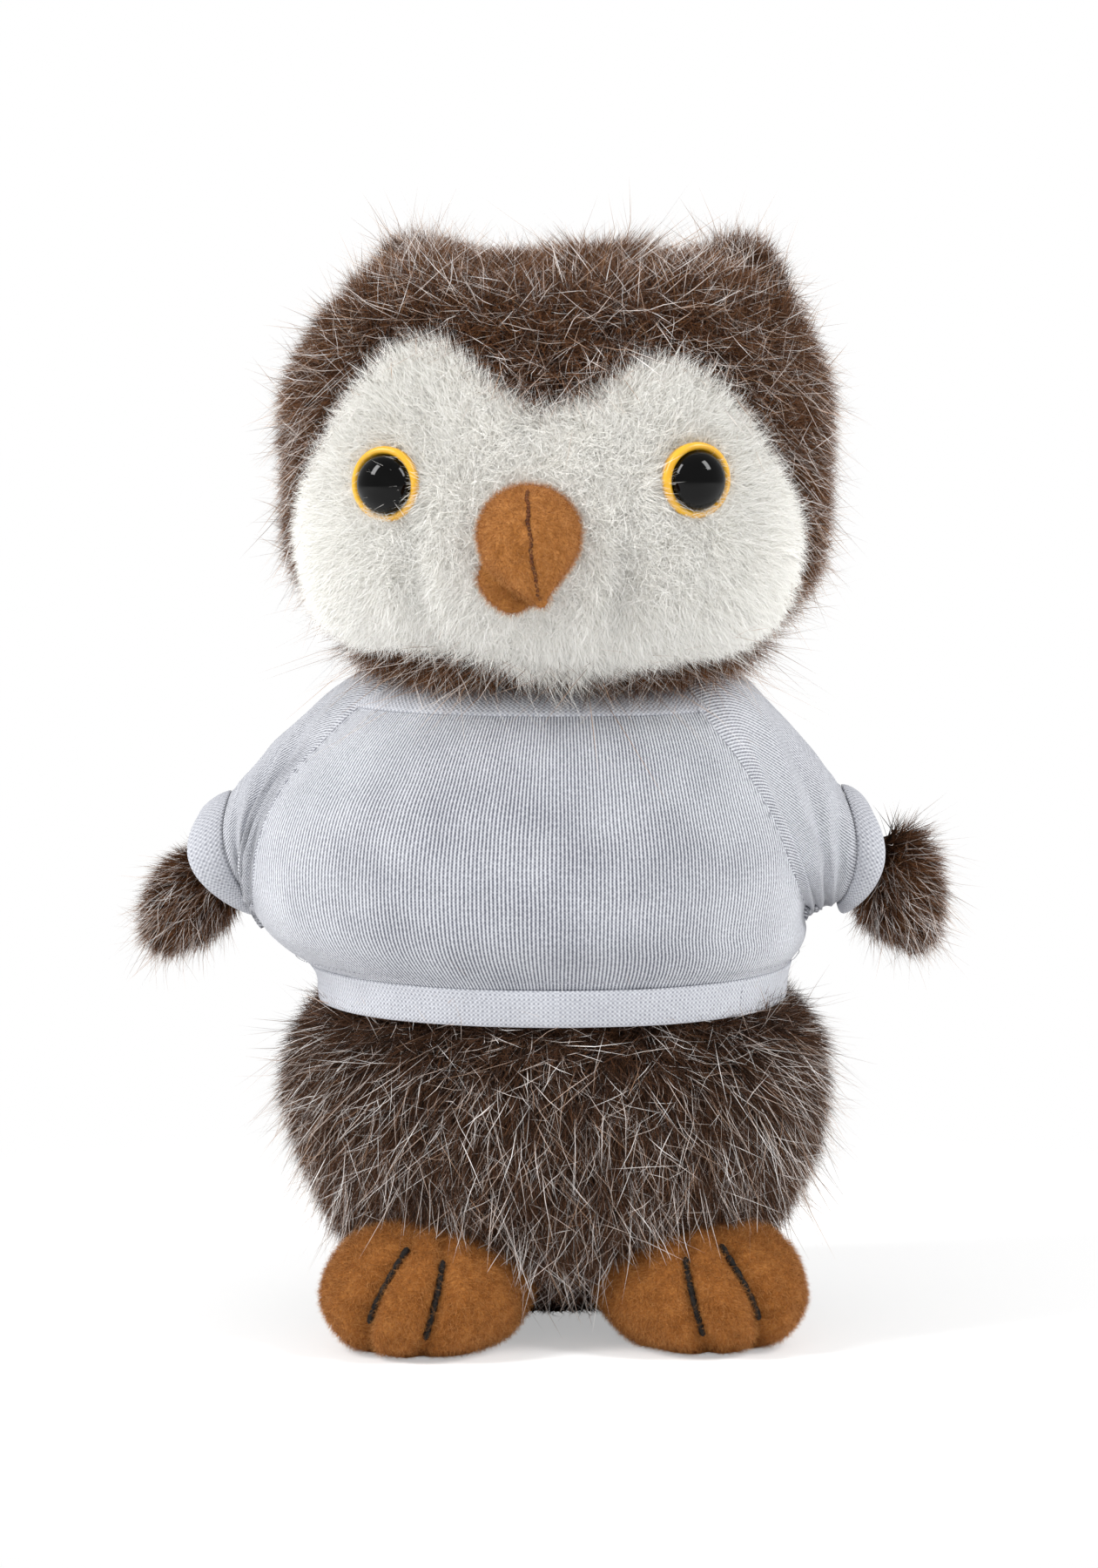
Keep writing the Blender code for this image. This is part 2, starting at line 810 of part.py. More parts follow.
def face_front(reach, height):
    """Outermost point of the white pile at a place of the face."""
    azimuth = math.copysign(HEAD.front_angle(abs(reach), height), reach)
    relief = face_relief(np.array([azimuth]), np.array([height]), np.array([1.0]))
    run = np.array([HEAD.run_at(height)])
    return HEAD.surface(np.array([azimuth]), run, relief)[0]


def head_pieces(axis, finishes):
    """Head skin with its window, white face, stuffing and ear tufts."""
    origin = (0.0, 0.0, NECK_HEIGHT)
    crown = HEAD.foot + HEAD.height
    runs = HEAD.stations(HEAD.foot, HEAD.rows()[-2, 0])
    outer = HEAD.rings(runs, 0.0)
    inner = HEAD.rings(runs, -SKIN_THICKNESS)
    mesh = lofted(
        "head_skin",
        [shifted(r, origin) for r in outer[::-1] + inner],
        first=shifted((0.0, 0.0, crown), origin),
        last=shifted((0.0, 0.0, crown - SKIN_THICKNESS), origin),
    )
    skin = place("head_skin", mesh, finishes["fur"], axis)

    azimuth, along, heights, edge = face_grid(FACE_COLUMNS, FACE_ROWS, SEAM_GAP)
    over = HEAD.surface(azimuth, along, np.full(azimuth.shape, CUT_OVERRUN))
    under = HEAD.surface(azimuth, along, np.full(azimuth.shape, -CUT_OVERRUN))
    window = cutter(
        "face_window",
        slab("face_window", shifted(over, origin), shifted(under, origin)),
        axis,
    )
    cut(skin, window)

    azimuth, along, heights, edge = face_grid(FACE_COLUMNS, FACE_ROWS)
    relief = face_relief(azimuth, heights, edge)
    front = HEAD.surface(azimuth, along, relief)
    back = HEAD.surface(azimuth, along, np.full(azimuth.shape, -SKIN_THICKNESS))
    mesh = slab("face_panel", shifted(front, origin), shifted(back, origin))
    face = place("face_panel", mesh, finishes["face"], axis)

    depth = SKIN_THICKNESS + SEAM_GAP
    rings = HEAD.rings(runs, -depth, ROUND_FORM // 2)
    rings = neck_plug(rings[0], HEAD.foot + SEAM_GAP)[::-1] + rings
    mesh = lofted(
        "head_stuffing",
        [shifted(r, origin) for r in rings],
        first=None,
        last=shifted((0.0, 0.0, crown - depth), origin),
    )
    filling = place("head_stuffing", mesh, finishes["stuffing"], axis)

    clear = HEAD.rings(runs, SEAM_GAP)
    mesh = lofted(
        "head_clearance",
        [shifted(r, origin) for r in clear],
        first=None,
        last=shifted((0.0, 0.0, crown + SEAM_GAP), origin),
    )
    clearance = cutter("head_clearance", mesh, axis)
    for side, word in ((-1.0, "left"), (1.0, "right")):
        name = f"{word}_ear_tuft"
        reach = LEFT_EAR_REACH if side < 0.0 else RIGHT_EAR_REACH
        spine = [
            (side * reach, 0.0, crown - EAR_SINK - EAR_HEIGHT),
            (side * (reach + EAR_LEAN / 2), 0.0, crown - EAR_SINK),
            (side * (reach + EAR_LEAN), 0.0, crown + EAR_HEIGHT - EAR_SINK),
        ]
        mesh = limb(
            name,
            shifted(spine, origin),
            EAR_GIRTH_SHARES,
            EAR_HALF_WIDTH,
            EAR_HALF_DEPTH,
            (1.0, 0.0, 0.0),
            ROUND_LIMB,
            6,
        )
        cut(place(name, mesh, finishes["fur"], axis), clearance)
    return face, filling


def eye_pieces(axis, face, filling, finishes):
    """Both eyes, each with plate, pupil and locking washer."""
    origin = np.array([0.0, 0.0, NECK_HEIGHT])
    reach_back = EYE_SEAT + SKIN_THICKNESS + WASHER_SETBACK + WASHER_THICKNESS
    plate_profile = [
        (0.0, -SHANK_LENGTH),
        (SHANK_RADIUS, -SHANK_LENGTH),
        (SHANK_RADIUS, 0.0),
        (EYE_RADIUS - EYE_RIM, 0.0),
        (EYE_RADIUS, EYE_RIM),
        (EYE_RADIUS, EYE_PLATE - EYE_RIM),
        (EYE_RADIUS - EYE_RIM / 3, EYE_PLATE - EYE_RIM / 4),
        (EYE_RADIUS - EYE_RIM, EYE_PLATE),
        (PUPIL_RADIUS + SEAM_GAP, EYE_PLATE - EYE_RIM / 2),
        (PUPIL_RADIUS + SEAM_GAP, EYE_CUP_DEPTH),
        (0.0, EYE_CUP_DEPTH),
    ]
    sits = EYE_CUP_DEPTH + SEAM_GAP
    dome = [
        (PUPIL_RADIUS * math.cos(a), EYE_PLATE - EYE_RIM + PUPIL_DOME * math.sin(a))
        for a in np.linspace(0.0, math.pi / 2, 8)[:-1]
    ]
    top = EYE_PLATE - EYE_RIM + PUPIL_DOME
    pupil_profile = [(0.0, sits), (PUPIL_RADIUS, sits)] + dome + [(0.0, top)]
    washer_top = -(EYE_SEAT + SKIN_THICKNESS + WASHER_SETBACK)
    bore = SHANK_RADIUS + SEAM_GAP
    washer_profile = [
        (bore, washer_top),
        (WASHER_RADIUS, washer_top),
        (WASHER_RADIUS, washer_top - WASHER_THICKNESS),
        (bore, washer_top - WASHER_THICKNESS),
    ]
    seat_radius = EYE_RADIUS + SEAM_GAP
    seat_profile = [
        (0.0, -reach_back - CUT_OVERRUN),
        (bore, -reach_back - CUT_OVERRUN),
        (bore, -SEAM_GAP),
        (seat_radius, -SEAM_GAP),
        (seat_radius, EYE_PLATE + CUT_OVERRUN),
        (0.0, EYE_PLATE + CUT_OVERRUN),
    ]
    pocket_radius = WASHER_RADIUS + SEAM_GAP
    pocket_profile = [
        (0.0, -SHANK_LENGTH - SEAM_GAP),
        (bore, -SHANK_LENGTH - SEAM_GAP),
        (bore, -reach_back - SEAM_GAP),
        (pocket_radius, -reach_back - SEAM_GAP),
        (pocket_radius, EYE_PLATE),
        (0.0, EYE_PLATE),
    ]
    for side, word in ((-1.0, "left"), (1.0, "right")):
        height = HEAD.foot + EYE_HEIGHT + (RIGHT_EYE_RISE if side > 0.0 else 0.0)
        azimuth = np.array([side * HEAD.front_angle(EYE_SPREAD, height)])
        run = np.array([HEAD.run_at(height)])
        ground = HEAD.surface(azimuth, run, np.array([0.0]))[0]
        ahead = HEAD.surface(azimuth, run, np.array([EYE_RADIUS]))[0] - ground
        outward_deg = LEFT_EYE_OUTWARD_DEG if side < 0.0 else RIGHT_EYE_OUTWARD_DEG
        outward = Matrix.Rotation(side * math.radians(outward_deg), 3, "Z")
        ahead = (outward @ Vector(ahead)).normalized()
        spot = Vector(ground - origin) + ahead * EYE_SEAT
        turn = ahead.to_track_quat("Z", "Y")
        for piece, profile, look in (
            ("eye_plate", plate_profile, "yellow"),
            ("eye_pupil", pupil_profile, "black"),
            ("eye_washer", washer_profile, "washer"),
        ):
            name = f"{word}_{piece}"
            place(name, turned(name, profile), finishes[look], axis, spot, turn)
        seat = cutter(
            f"{word}_eye_seat", turned("eye_seat", seat_profile, 28), axis, spot, turn
        )
        cut(face, seat)
        pocket = cutter(
            f"{word}_eye_pocket",
            turned("eye_pocket", pocket_profile, 18),
            axis,
            spot,
            turn,
        )
        cut(filling, pocket)


def beak_pieces(axis, finishes):
    """Upper and lower beak, sewn to the face, and the upper one's seam."""
    origin = np.array([0.0, 0.0, NECK_HEIGHT])
    azimuth, runs, heights, edge = face_grid(FACE_COLUMNS, FACE_ROWS)
    relief = face_relief(azimuth, heights, edge)
    front = HEAD.surface(azimuth, runs, relief + SEAM_GAP)
    deep = BEAK_REACH + BEAK_HALF_THICKNESS
    back = HEAD.surface(azimuth, runs, np.full(azimuth.shape, -deep))
    mesh = slab("face_clearance", shifted(front, origin), shifted(back, origin))
    clearance = cutter("face_clearance", mesh, axis)

    root_height = HEAD.foot + BEAK_HEIGHT
    root = face_front(-BEAK_ROOT_LEFT, root_height)
    root = root + np.array([0.0, BEAK_HALF_THICKNESS / 2, 0.0])
    aside = np.array([BEAK_SIDESTEP, 0.0, 0.0])
    reach, drop = np.array([0.0, -BEAK_REACH, 0.0]), np.array([0.0, 0.0, -BEAK_DROP])
    spine = [root + reach * r + (drop + aside) * d for r, d in BEAK_SPINE_SHARES]
    mesh = limb(
        "beak_upper",
        shifted(spine, origin),
        BEAK_GIRTH_SHARES,
        BEAK_HALF_WIDTH,
        BEAK_HALF_THICKNESS,
        (1.0, 0.0, 0.0),
        20,
        10,
    )
    upper = place("beak_upper", mesh, finishes["beak"], axis)
    cut(upper, clearance)

    low_height = HEAD.foot + LOWER_BEAK_HEIGHT
    low = face_front(-BEAK_ROOT_LEFT - LOWER_BEAK_SIDESTEP, low_height)
    low = low + np.array([0.0, LOWER_BEAK_HALF_THICKNESS, 0.0])
    away, fall = LOWER_BEAK_REACH, LOWER_BEAK_DROP
    spine = [
        low,
        low + np.array([0.0, -away / 2, -fall / 3]),
        low + np.array([0.0, -away, -fall]),
    ]
    mesh = limb(
        "beak_lower",
        shifted(spine, origin),
        LOWER_BEAK_GIRTH_SHARES,
        LOWER_BEAK_HALF_WIDTH,
        LOWER_BEAK_HALF_THICKNESS,
        (1.0, 0.0, 0.0),
        ROUND_LIMB,
        6,
    )
    lower = place("beak_lower", mesh, finishes["beak_dark"], axis)
    cut(lower, clearance)
    grown = SEAM_GAP
    spine = [root + reach * r + (drop + aside) * d for r, d in BEAK_SPINE_SHARES]
    mesh = limb(
        "beak_clearance",
        shifted(spine, origin),
        BEAK_GIRTH_SHARES,
        BEAK_HALF_WIDTH + grown,
        BEAK_HALF_THICKNESS + grown,
        (1.0, 0.0, 0.0),
        20,
        10,
    )
    cut(lower, cutter("beak_clearance", mesh, axis))

    # The seam runs down the middle of the upper beak's outer side
    points = np.array(spine)
    knots = chord_length(points)
    shares = np.array(BEAK_GIRTH_SHARES)
    route = []
    for run in np.linspace(0.34, 0.97, THREAD_POINTS):
        ends = spline(knots, points, np.array([run - 1e-3, run + 1e-3]))
        ahead = (ends[1] - ends[0]) / np.linalg.norm(ends[1] - ends[0])
        out = np.cross((1.0, 0.0, 0.0), ahead)
        out /= np.linalg.norm(out)
        thick = spline(shares[:, 0], shares[:, 2], np.array([run]))[0]
        proud = thick * BEAK_HALF_THICKNESS + SEAM_GAP + THREAD_RADIUS
        middle = spline(knots, points, np.array([run]))[0]
        away = out if out[1] < 0.0 else -out
        route.append(shifted(middle + away * proud, origin))
    thread("beak_seam_thread", route, THREAD_RADIUS, axis, finishes["thread"])


GROOVE = math.radians(TOE_GROOVE_DEG)
GROOVE_WIDTH = math.radians(TOE_GROOVE_WIDTH_DEG)
TOE_TURN = math.radians(TOE_TURN_DEG)
OUTER_TOE_SLANT = math.radians(OUTER_TOE_SLANT_DEG)
INNER_TOE_SLANT = math.radians(INNER_TOE_SLANT_DEG)
MIDDLE_SHARE = 0.5


def toe_angle(side, outer, lift):
    """Azimuth of a foot's outer or inner toe groove.

    Args:
        side: -1 for the left foot, 1 for the right one.
        outer: whether it is the groove away from the other foot.
        lift: height as a share of the foot's.
    """
    slant = OUTER_TOE_SLANT if outer else INNER_TOE_SLANT
    apart = GROOVE if outer else -GROOVE
    return side * (apart - TOE_TURN + slant * (MIDDLE_SHARE - lift))


def foot_height(run):
    """Height and size share of a foot's profile at a share of its run."""
    rows = np.array(FOOT_PROFILE_SHARES) * np.array([FOOT_HEIGHT + STANDING_FLAT, 1.0])
    rows[:, 0] -= STANDING_FLAT
    metric = rows * np.array([1.0, FOOT_HALF_LENGTH])
    high, size = spline(chord_length(metric), rows, np.array([run]))[0]
    return high, max(size, 0.0)


def foot_point(azimuth, run, side):
    """Points of a foot's outer surface, in the foot's own frame.

    Args:
        azimuth: angles from the foot's front, towards +X.
        run: share of the profile's run.
        side: -1 for the left foot, 1 for the right one.
    """
    high, size = foot_height(run)
    power = 2.0 / FOOT_SQUARENESS
    across, ahead = np.sin(azimuth), np.cos(azimuth)
    lift = max(high, 0.0) / FOOT_HEIGHT
    groove = sum(
        np.exp(-(((azimuth - toe_angle(side, outer, lift)) / GROOVE_WIDTH) ** 2))
        for outer in (True, False)
    )
    shape = size * (1.0 - TOE_GROOVE / FOOT_HALF_LENGTH * groove)
    return np.stack(
        [
            FOOT_HALF_WIDTH * shape * np.sign(across) * np.abs(across) ** power,
            -FOOT_HALF_LENGTH * shape * np.sign(ahead) * np.abs(ahead) ** power
            + FOOT_TOP_SETBACK * lift,
            np.full(np.shape(azimuth), high) + 0.0 * across,
        ],
        axis=-1,
    )


def foot_azimuths():
    """Azimuths round a foot, closer together over its toes."""
    toes = np.linspace(-2.2 * GROOVE, 2.2 * GROOVE, 17)
    rest = np.linspace(2.2 * GROOVE, 2 * math.pi - 2.2 * GROOVE, 15)[1:-1]
    return np.concatenate([toes, rest])


def foot_pieces(finishes):
    """Both feet, cut to seat under the body, and their toe threads."""
    floor_row = BODY.rows()[1, 0]
    grown = BODY.rings(body_stations(floor_row, HEM_BOTTOM), SEAM_GAP)
    mesh = lofted(
        "body_clearance", grown, first=(0.0, 0.0, BODY.foot - SEAM_GAP), last=None
    )
    clearance = cutter("body_clearance", mesh)
    azimuth = foot_azimuths()
    runs = np.concatenate([[0.28, 0.42], np.linspace(0.47, 0.95, 10)])
    for side, word, reach, forward in (
        (-1.0, "left", LEFT_FOOT_REACH, LEFT_FOOT_FORWARD),
        (1.0, "right", RIGHT_FOOT_REACH, RIGHT_FOOT_FORWARD),
    ):
        rings = [foot_point(azimuth - side * TOE_TURN, run, side) for run in runs]
        top = (0.0, FOOT_TOP_SETBACK, FOOT_HEIGHT)
        mesh = lofted(
            f"{word}_foot", rings, first=(0.0, 0.0, -STANDING_FLAT), last=top, floor=0.0
        )
        at = Vector((side * reach, -forward, 0.0))
        turn = Matrix.Rotation(side * math.radians(FOOT_SPLAY_DEG), 3, "Z")
        turn = turn.to_quaternion()
        foot = place(f"{word}_foot", mesh, finishes["foot"], None, at, turn)
        cut(foot, clearance)
        for outer, toe, shares in (
            (True, "outer", OUTER_THREAD_SHARES),
            (False, "inner", INNER_THREAD_SHARES),
        ):
            route = []
            for run in np.linspace(*shares, THREAD_POINTS):
                angle = toe_angle(side, outer, foot_height(run)[0] / FOOT_HEIGHT)
                here = foot_point(np.array([angle]), run, side)[0]
                ends = [
                    foot_point(np.array([angle]), run + step, side)[0]
                    for step in (-0.01, 0.01)
                ]
                along = ends[1] - ends[0]
                out = np.cross(along, (math.cos(angle), math.sin(angle), 0.0))
                out /= np.linalg.norm(out)
                out = out if np.dot(out, here) > 0.0 else -out
                route.append(here + out * (TOE_THREAD_GAP + THREAD_RADIUS))
            line = thread(
                f"{word}_{toe}_toe_thread",
                route,
                THREAD_RADIUS,
                None,
                finishes["thread"],
                at,
            )
            line.rotation_mode = "QUATERNION"
            line.rotation_quaternion = turn


def raglan_line():
    """Two points, in X and Z, of the seam between panel and sleeve."""
    under = BODY.half_width_at(UNDERARM_HEIGHT) + SEAM_GAP + CLOTH_THICKNESS
    return np.array([RAGLAN_REACH, COLLAR_SEAM]), np.array([under, UNDERARM_HEIGHT])


def shoulder():
    """Middle of a wing's root, where it swings: its X and Z."""
    return np.array(
        [
            BODY.half_width_at(SHOULDER_HEIGHT) + SEAM_GAP + WING_ROOT_RADIUS,
            SHOULDER_HEIGHT,
        ]
    )


def raglan_rings(count):
    """Outer and inner ring of a sleeve's first row, on the shirt's surface."""
    high, low = raglan_line()
    along = (high - low) / np.linalg.norm(high - low)
    across = np.array([along[1], -along[0]])
    middle = (high + low) / 2 + across * SEAM_GAP
    rings = []
    for offset in (SEAM_GAP + CLOTH_THICKNESS, SEAM_GAP):
        ring = []
        for turn in np.arange(count) * 2 * math.pi / count:
            step = np.array(
                [along[0] * math.cos(turn), -math.sin(turn), along[1] * math.cos(turn)]
            )
            near, far = 0.0, BODY_HEIGHT
            for _ in range(40):
                reach = (near + far) / 2
                spot = np.array([middle[0], 0.0, middle[1]]) + step * reach
                if spot[2] < BODY_HEIGHT and BODY.inside(spot[None, :], offset)[0] < 0:
                    near = reach
                else:
                    far = reach
            ring.append(np.array([middle[0], 0.0, middle[1]]) + step * near)
        rings.append(np.array(ring))
    return rings


def cuff_rings(count, left):
    """Outer ring of a cuff's seam and of its opening, the left one further out."""
    _, low = raglan_line()
    foot = low + np.array([CUFF_STANDOFF, -CLOTH_THICKNESS])
    move = np.array([-RIGHT_CUFF_IN, RIGHT_CUFF_UP])
    slope_deg, tilt_deg = RIGHT_CUFF_SLOPE_DEG, RIGHT_CUFF_TILT_DEG
    bulge = RIGHT_CUFF_BULGE
    if left:
        move = np.array([LEFT_CUFF_OUT, LEFT_CUFF_UP])
        slope_deg, tilt_deg = LEFT_CUFF_SLOPE_DEG, LEFT_CUFF_TILT_DEG
        bulge = LEFT_CUFF_BULGE
    foot = foot + move
    tuck = np.array([CUFF_TUCK_OUT, -CUFF_TUCK_DOWN])
    turn = np.arange(count) * 2 * math.pi / count
    half = CUFF_SPAN / 2
    rings = []
    for start, lean_deg, swell in (
        (foot, slope_deg, bulge * SEAM_BULGE_SHARE),
        (foot + tuck, tilt_deg, bulge),
    ):
        lean = math.radians(lean_deg)
        up = np.array([math.sin(lean), math.cos(lean)])
        middle = start + up * half
        ring = np.stack(
            [
                middle[0] + up[0] * half * np.cos(turn) + swell * np.sin(turn) ** 2,
                -CUFF_HALF_DEPTH * np.sin(turn),
                middle[1] + up[1] * half * np.cos(turn),
            ],
            axis=-1,
        )
        rings.append(ring)
    return rings


def offset_tube(rings, thickness):
    """Rings moved inwards by a thickness, along the tube's own normals."""
    grid = np.array(rings)
    around = np.roll(grid, -1, axis=1) - np.roll(grid, 1, axis=1)
    along = np.gradient(grid, axis=0)
    normal = np.cross(around, along)
    normal /= np.linalg.norm(normal, axis=-1, keepdims=True)
    middle = grid.mean(axis=1, keepdims=True)
    outward = np.sum(normal * (grid - middle), axis=-1).mean() > 0.0
    return grid - normal * thickness * (1.0 if outward else -1.0)


def sleeve_rows(outer, seam, tilt_deg):
    """Rows of a sleeve from its raglan ring to its cuff seam, with its folds."""
    tilt = math.radians(tilt_deg)
    into_cuff = np.array([math.cos(tilt), 0.0, -math.sin(tilt)])
    leave = np.array([1.0, 0.0, math.tan(math.radians(SHOULDER_SLOPE_DEG))])
    leave /= np.linalg.norm(leave)
    length = np.linalg.norm(seam - outer, axis=1, keepdims=True)
    p1 = outer + leave * length * SLEEVE_FULLNESS_SHARE
    p2 = seam - into_cuff * length * SLEEVE_FULLNESS_SHARE
    rows = []
    for t in np.linspace(0.0, 1.0, SLEEVE_ROWS):
        row = outer * (1 - t) ** 3 + 3 * p1 * t * (1 - t) ** 2
        row = row + 3 * p2 * t**2 * (1 - t) + seam * t**3
        middle = row.mean(axis=0)
        away = row - middle
        away /= np.linalg.norm(away, axis=1, keepdims=True)
        wave = 0.5 - 0.5 * math.cos(2 * math.pi * SLEEVE_FOLDS * t)
        facing = np.abs(away[:, 1:2]) ** 2
        rows.append(row + away * facing * FOLD_DEPTH * wave)
    return rows


def sleeve_pieces(axes, finishes):
    """Sleeves from the raglan seams to the cuffs, and the cuffs."""
    outer, inner = raglan_rings(ROUND_SLEEVE)
    grow = BAND_THICKNESS + SEAM_GAP * 2
    runs = body_stations(COLLAR_SEAM - SEAM_GAP, BODY_HEIGHT)
    collar_form = BODY.rings(runs[:1], 0.0) + BODY.rings(runs, grow)
    mesh = lofted("collar_clearance", collar_form, first=None, last=None)
    clearance = cutter("collar_clearance", mesh)
    for side, word in ((-1.0, "left"), (1.0, "right")):
        left = side < 0.0
        tilt_deg = LEFT_CUFF_TILT_DEG if left else RIGHT_CUFF_TILT_DEG
        tilt = math.radians(tilt_deg)
        seam, mouth = cuff_rings(ROUND_SLEEVE, left)
        rows = sleeve_rows(outer, seam, tilt_deg)
        lined = offset_tube(rows, CLOTH_THICKNESS)
        lined[0] = inner
        start = seam + np.array([math.cos(tilt), 0.0, -math.sin(tilt)]) * SEAM_GAP
        band_rows = []
        for t in (0.0, 0.5, 1.0):
            row = start * (1 - t) + mouth * t
            middle = row.mean(axis=0)
            swell = 1.0 + CUFF_SWELL_SHARE * math.sin(math.pi * t)
            band_rows.append(middle + (row - middle) * swell)
        band_inner = offset_tube(band_rows, BAND_THICKNESS)
        mirror = np.array([side, 1.0, 1.0])
        rings = [r * mirror for r in rows] + [r * mirror for r in lined[::-1]]
        mesh = lofted(f"{word}_sleeve", rings, looped=True)
        sleeve = place(f"{word}_sleeve", mesh, finishes["jersey"])
        cut(sleeve, clearance)
        origin = np.array(axes[word].location)
        rings = [r * mirror - origin for r in band_rows]
        rings += [r * mirror - origin for r in band_inner[::-1]]
        mesh = lofted(f"{word}_cuff", rings, looped=True)
        place(f"{word}_cuff", mesh, finishes["jersey"], axes[word])


def shirt_pieces(finishes):
    """Front and back panels, hem band and collar band."""
    low, high = HEM_BOTTOM + HEM_WIDTH + SEAM_GAP, COLLAR_SEAM - SEAM_GAP
    runs = body_stations(low, high)
    gap_angle = SEAM_GAP / BODY_HALF_DEPTH
    top, under = raglan_line()
    along = (under - top) / np.linalg.norm(under - top)
    out = np.array([-along[1], along[0]])
    long = BODY_HEIGHT
    wedge_cutters = []
    for side, word in ((-1.0, "left"), (1.0, "right")):
        corners = [
            top - along * long,
            under + along * long,
            under + along * long + out * long,
            top - along * long + out * long,
        ]
        rings = [
            np.array([(side * x, y, z) for x, z in corners])
            for y in (-BODY_HEIGHT, BODY_HEIGHT)
        ]
        mesh = lofted(f"{word}_raglan_cut", rings)
        wedge_cutters.append(cutter(f"{word}_raglan_cut", mesh))
    quarter = math.pi / 2 - gap_angle
    for start, name in ((0.0, "shirt_front"), (math.pi, "shirt_back")):
        azimuth = start + np.linspace(-quarter, quarter, HALF_PANEL + 1)
        grid_a, grid_r = np.meshgrid(azimuth, runs, indexing="ij")
        inner = np.full(grid_a.shape, SEAM_GAP)
        outer = BODY.surface(grid_a, grid_r, inner + CLOTH_THICKNESS)
        mesh = slab(name, outer, BODY.surface(grid_a, grid_r, inner))
        panel = place(name, mesh, finishes["jersey"])
        for helper in wedge_cutters:
            cut(panel, helper)
    for name, bottom, tall in (
        ("hem_band", HEM_BOTTOM, HEM_WIDTH),
        ("collar_band", COLLAR_SEAM, COLLAR_WIDTH),
    ):
        runs = body_stations(bottom, bottom + tall)
        inner = BODY.rings(runs, SEAM_GAP)
        outer = BODY.rings(runs, SEAM_GAP + BAND_THICKNESS)
        mesh = lofted(name, outer + inner[::-1], looped=True)
        place(name, mesh, finishes["jersey"])


def wing_pieces(axes, finishes):
    """Both wings, each from its root on the shoulder to its tip."""
    for side, word in ((-1.0, "left"), (1.0, "right")):
        out = LEFT_WING_OUT if side < 0.0 else RIGHT_WING_OUT
        down = LEFT_WING_DOWN if side < 0.0 else RIGHT_WING_DOWN
        root_shares = (
            0.0,
            WING_ROOT_RADIUS / WING_HALF_WIDTH,
            WING_ROOT_RADIUS / WING_HALF_THICKNESS,
        )
        spine = [
            (side * out * o, -WING_FORWARD * f, -down * d)
            for o, d, f in WING_SPINE_SHARES
        ]
        mesh = limb(
            f"{word}_wing",
            spine,
            (root_shares,) + WING_GIRTH_SHARES,
            WING_HALF_WIDTH,
            WING_HALF_THICKNESS,
            (0.6, 0.0, 0.8 * side),
            ROUND_LIMB,
            8,
        )
        place(f"{word}_wing", mesh, finishes["fur"], axes[word])


def main():
    """Builds the owl, piece by piece."""
    clear_scene()
    finishes = {
        "fur": material("brown_fur", FUR_BROWN, 0.9),
        "face": material("white_plush", FACE_WHITE, 0.9),
        "foot": material("caramel_fleece", FLEECE_CARAMEL, 0.95),
        "beak": material("beak_fleece", FLEECE_BEAK, 0.95),
        "beak_dark": material("beak_fleece_dark", FLEECE_BEAK_DARK, 0.95),
        "thread": material("black_thread", THREAD_BLACK, 0.8),
        "yellow": material("yellow_plastic", EYE_YELLOW, 0.35),
        "black": material("black_plastic", EYE_BLACK, 0.05),
        "washer": material("washer_plastic", WASHER_WHITE, 0.5),
        "jersey": material("white_jersey", JERSEY_WHITE, 0.9),
        "stuffing": material("polyester_stuffing", STUFFING_WHITE, 1.0),
    }
    head_axis = pivot("head_turn_axis", (0.0, 0.0, NECK_HEIGHT), HEAD_TURN_DEG)
    root = shoulder()
    wing_axes = {
        word: pivot(f"{word}_wing_axis", (side * root[0], 0.0, root[1]))
        for side, word in ((-1.0, "left"), (1.0, "right"))
    }
    body_pieces(finishes["fur"], finishes["stuffing"])
    face, filling = head_pieces(head_axis, finishes)
    eye_pieces(head_axis, face, filling, finishes)
    beak_pieces(head_axis, finishes)
    foot_pieces(finishes)
    shirt_pieces(finishes)
    wing_pieces(wing_axes, finishes)
    sleeve_pieces(wing_axes, finishes)


main()
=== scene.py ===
"""Looks of a standing plush owl in a jersey T-shirt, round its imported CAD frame.

Lengths are in metres, +Z is up and the owl faces -Y. "Left" is the side on the
left of the picture.
"""

import logging
import math
from collections.abc import Callable, Sequence
from dataclasses import dataclass, field
from enum import Enum
from functools import cache, partial

import bpy
import numpy as np
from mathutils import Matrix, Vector, noise


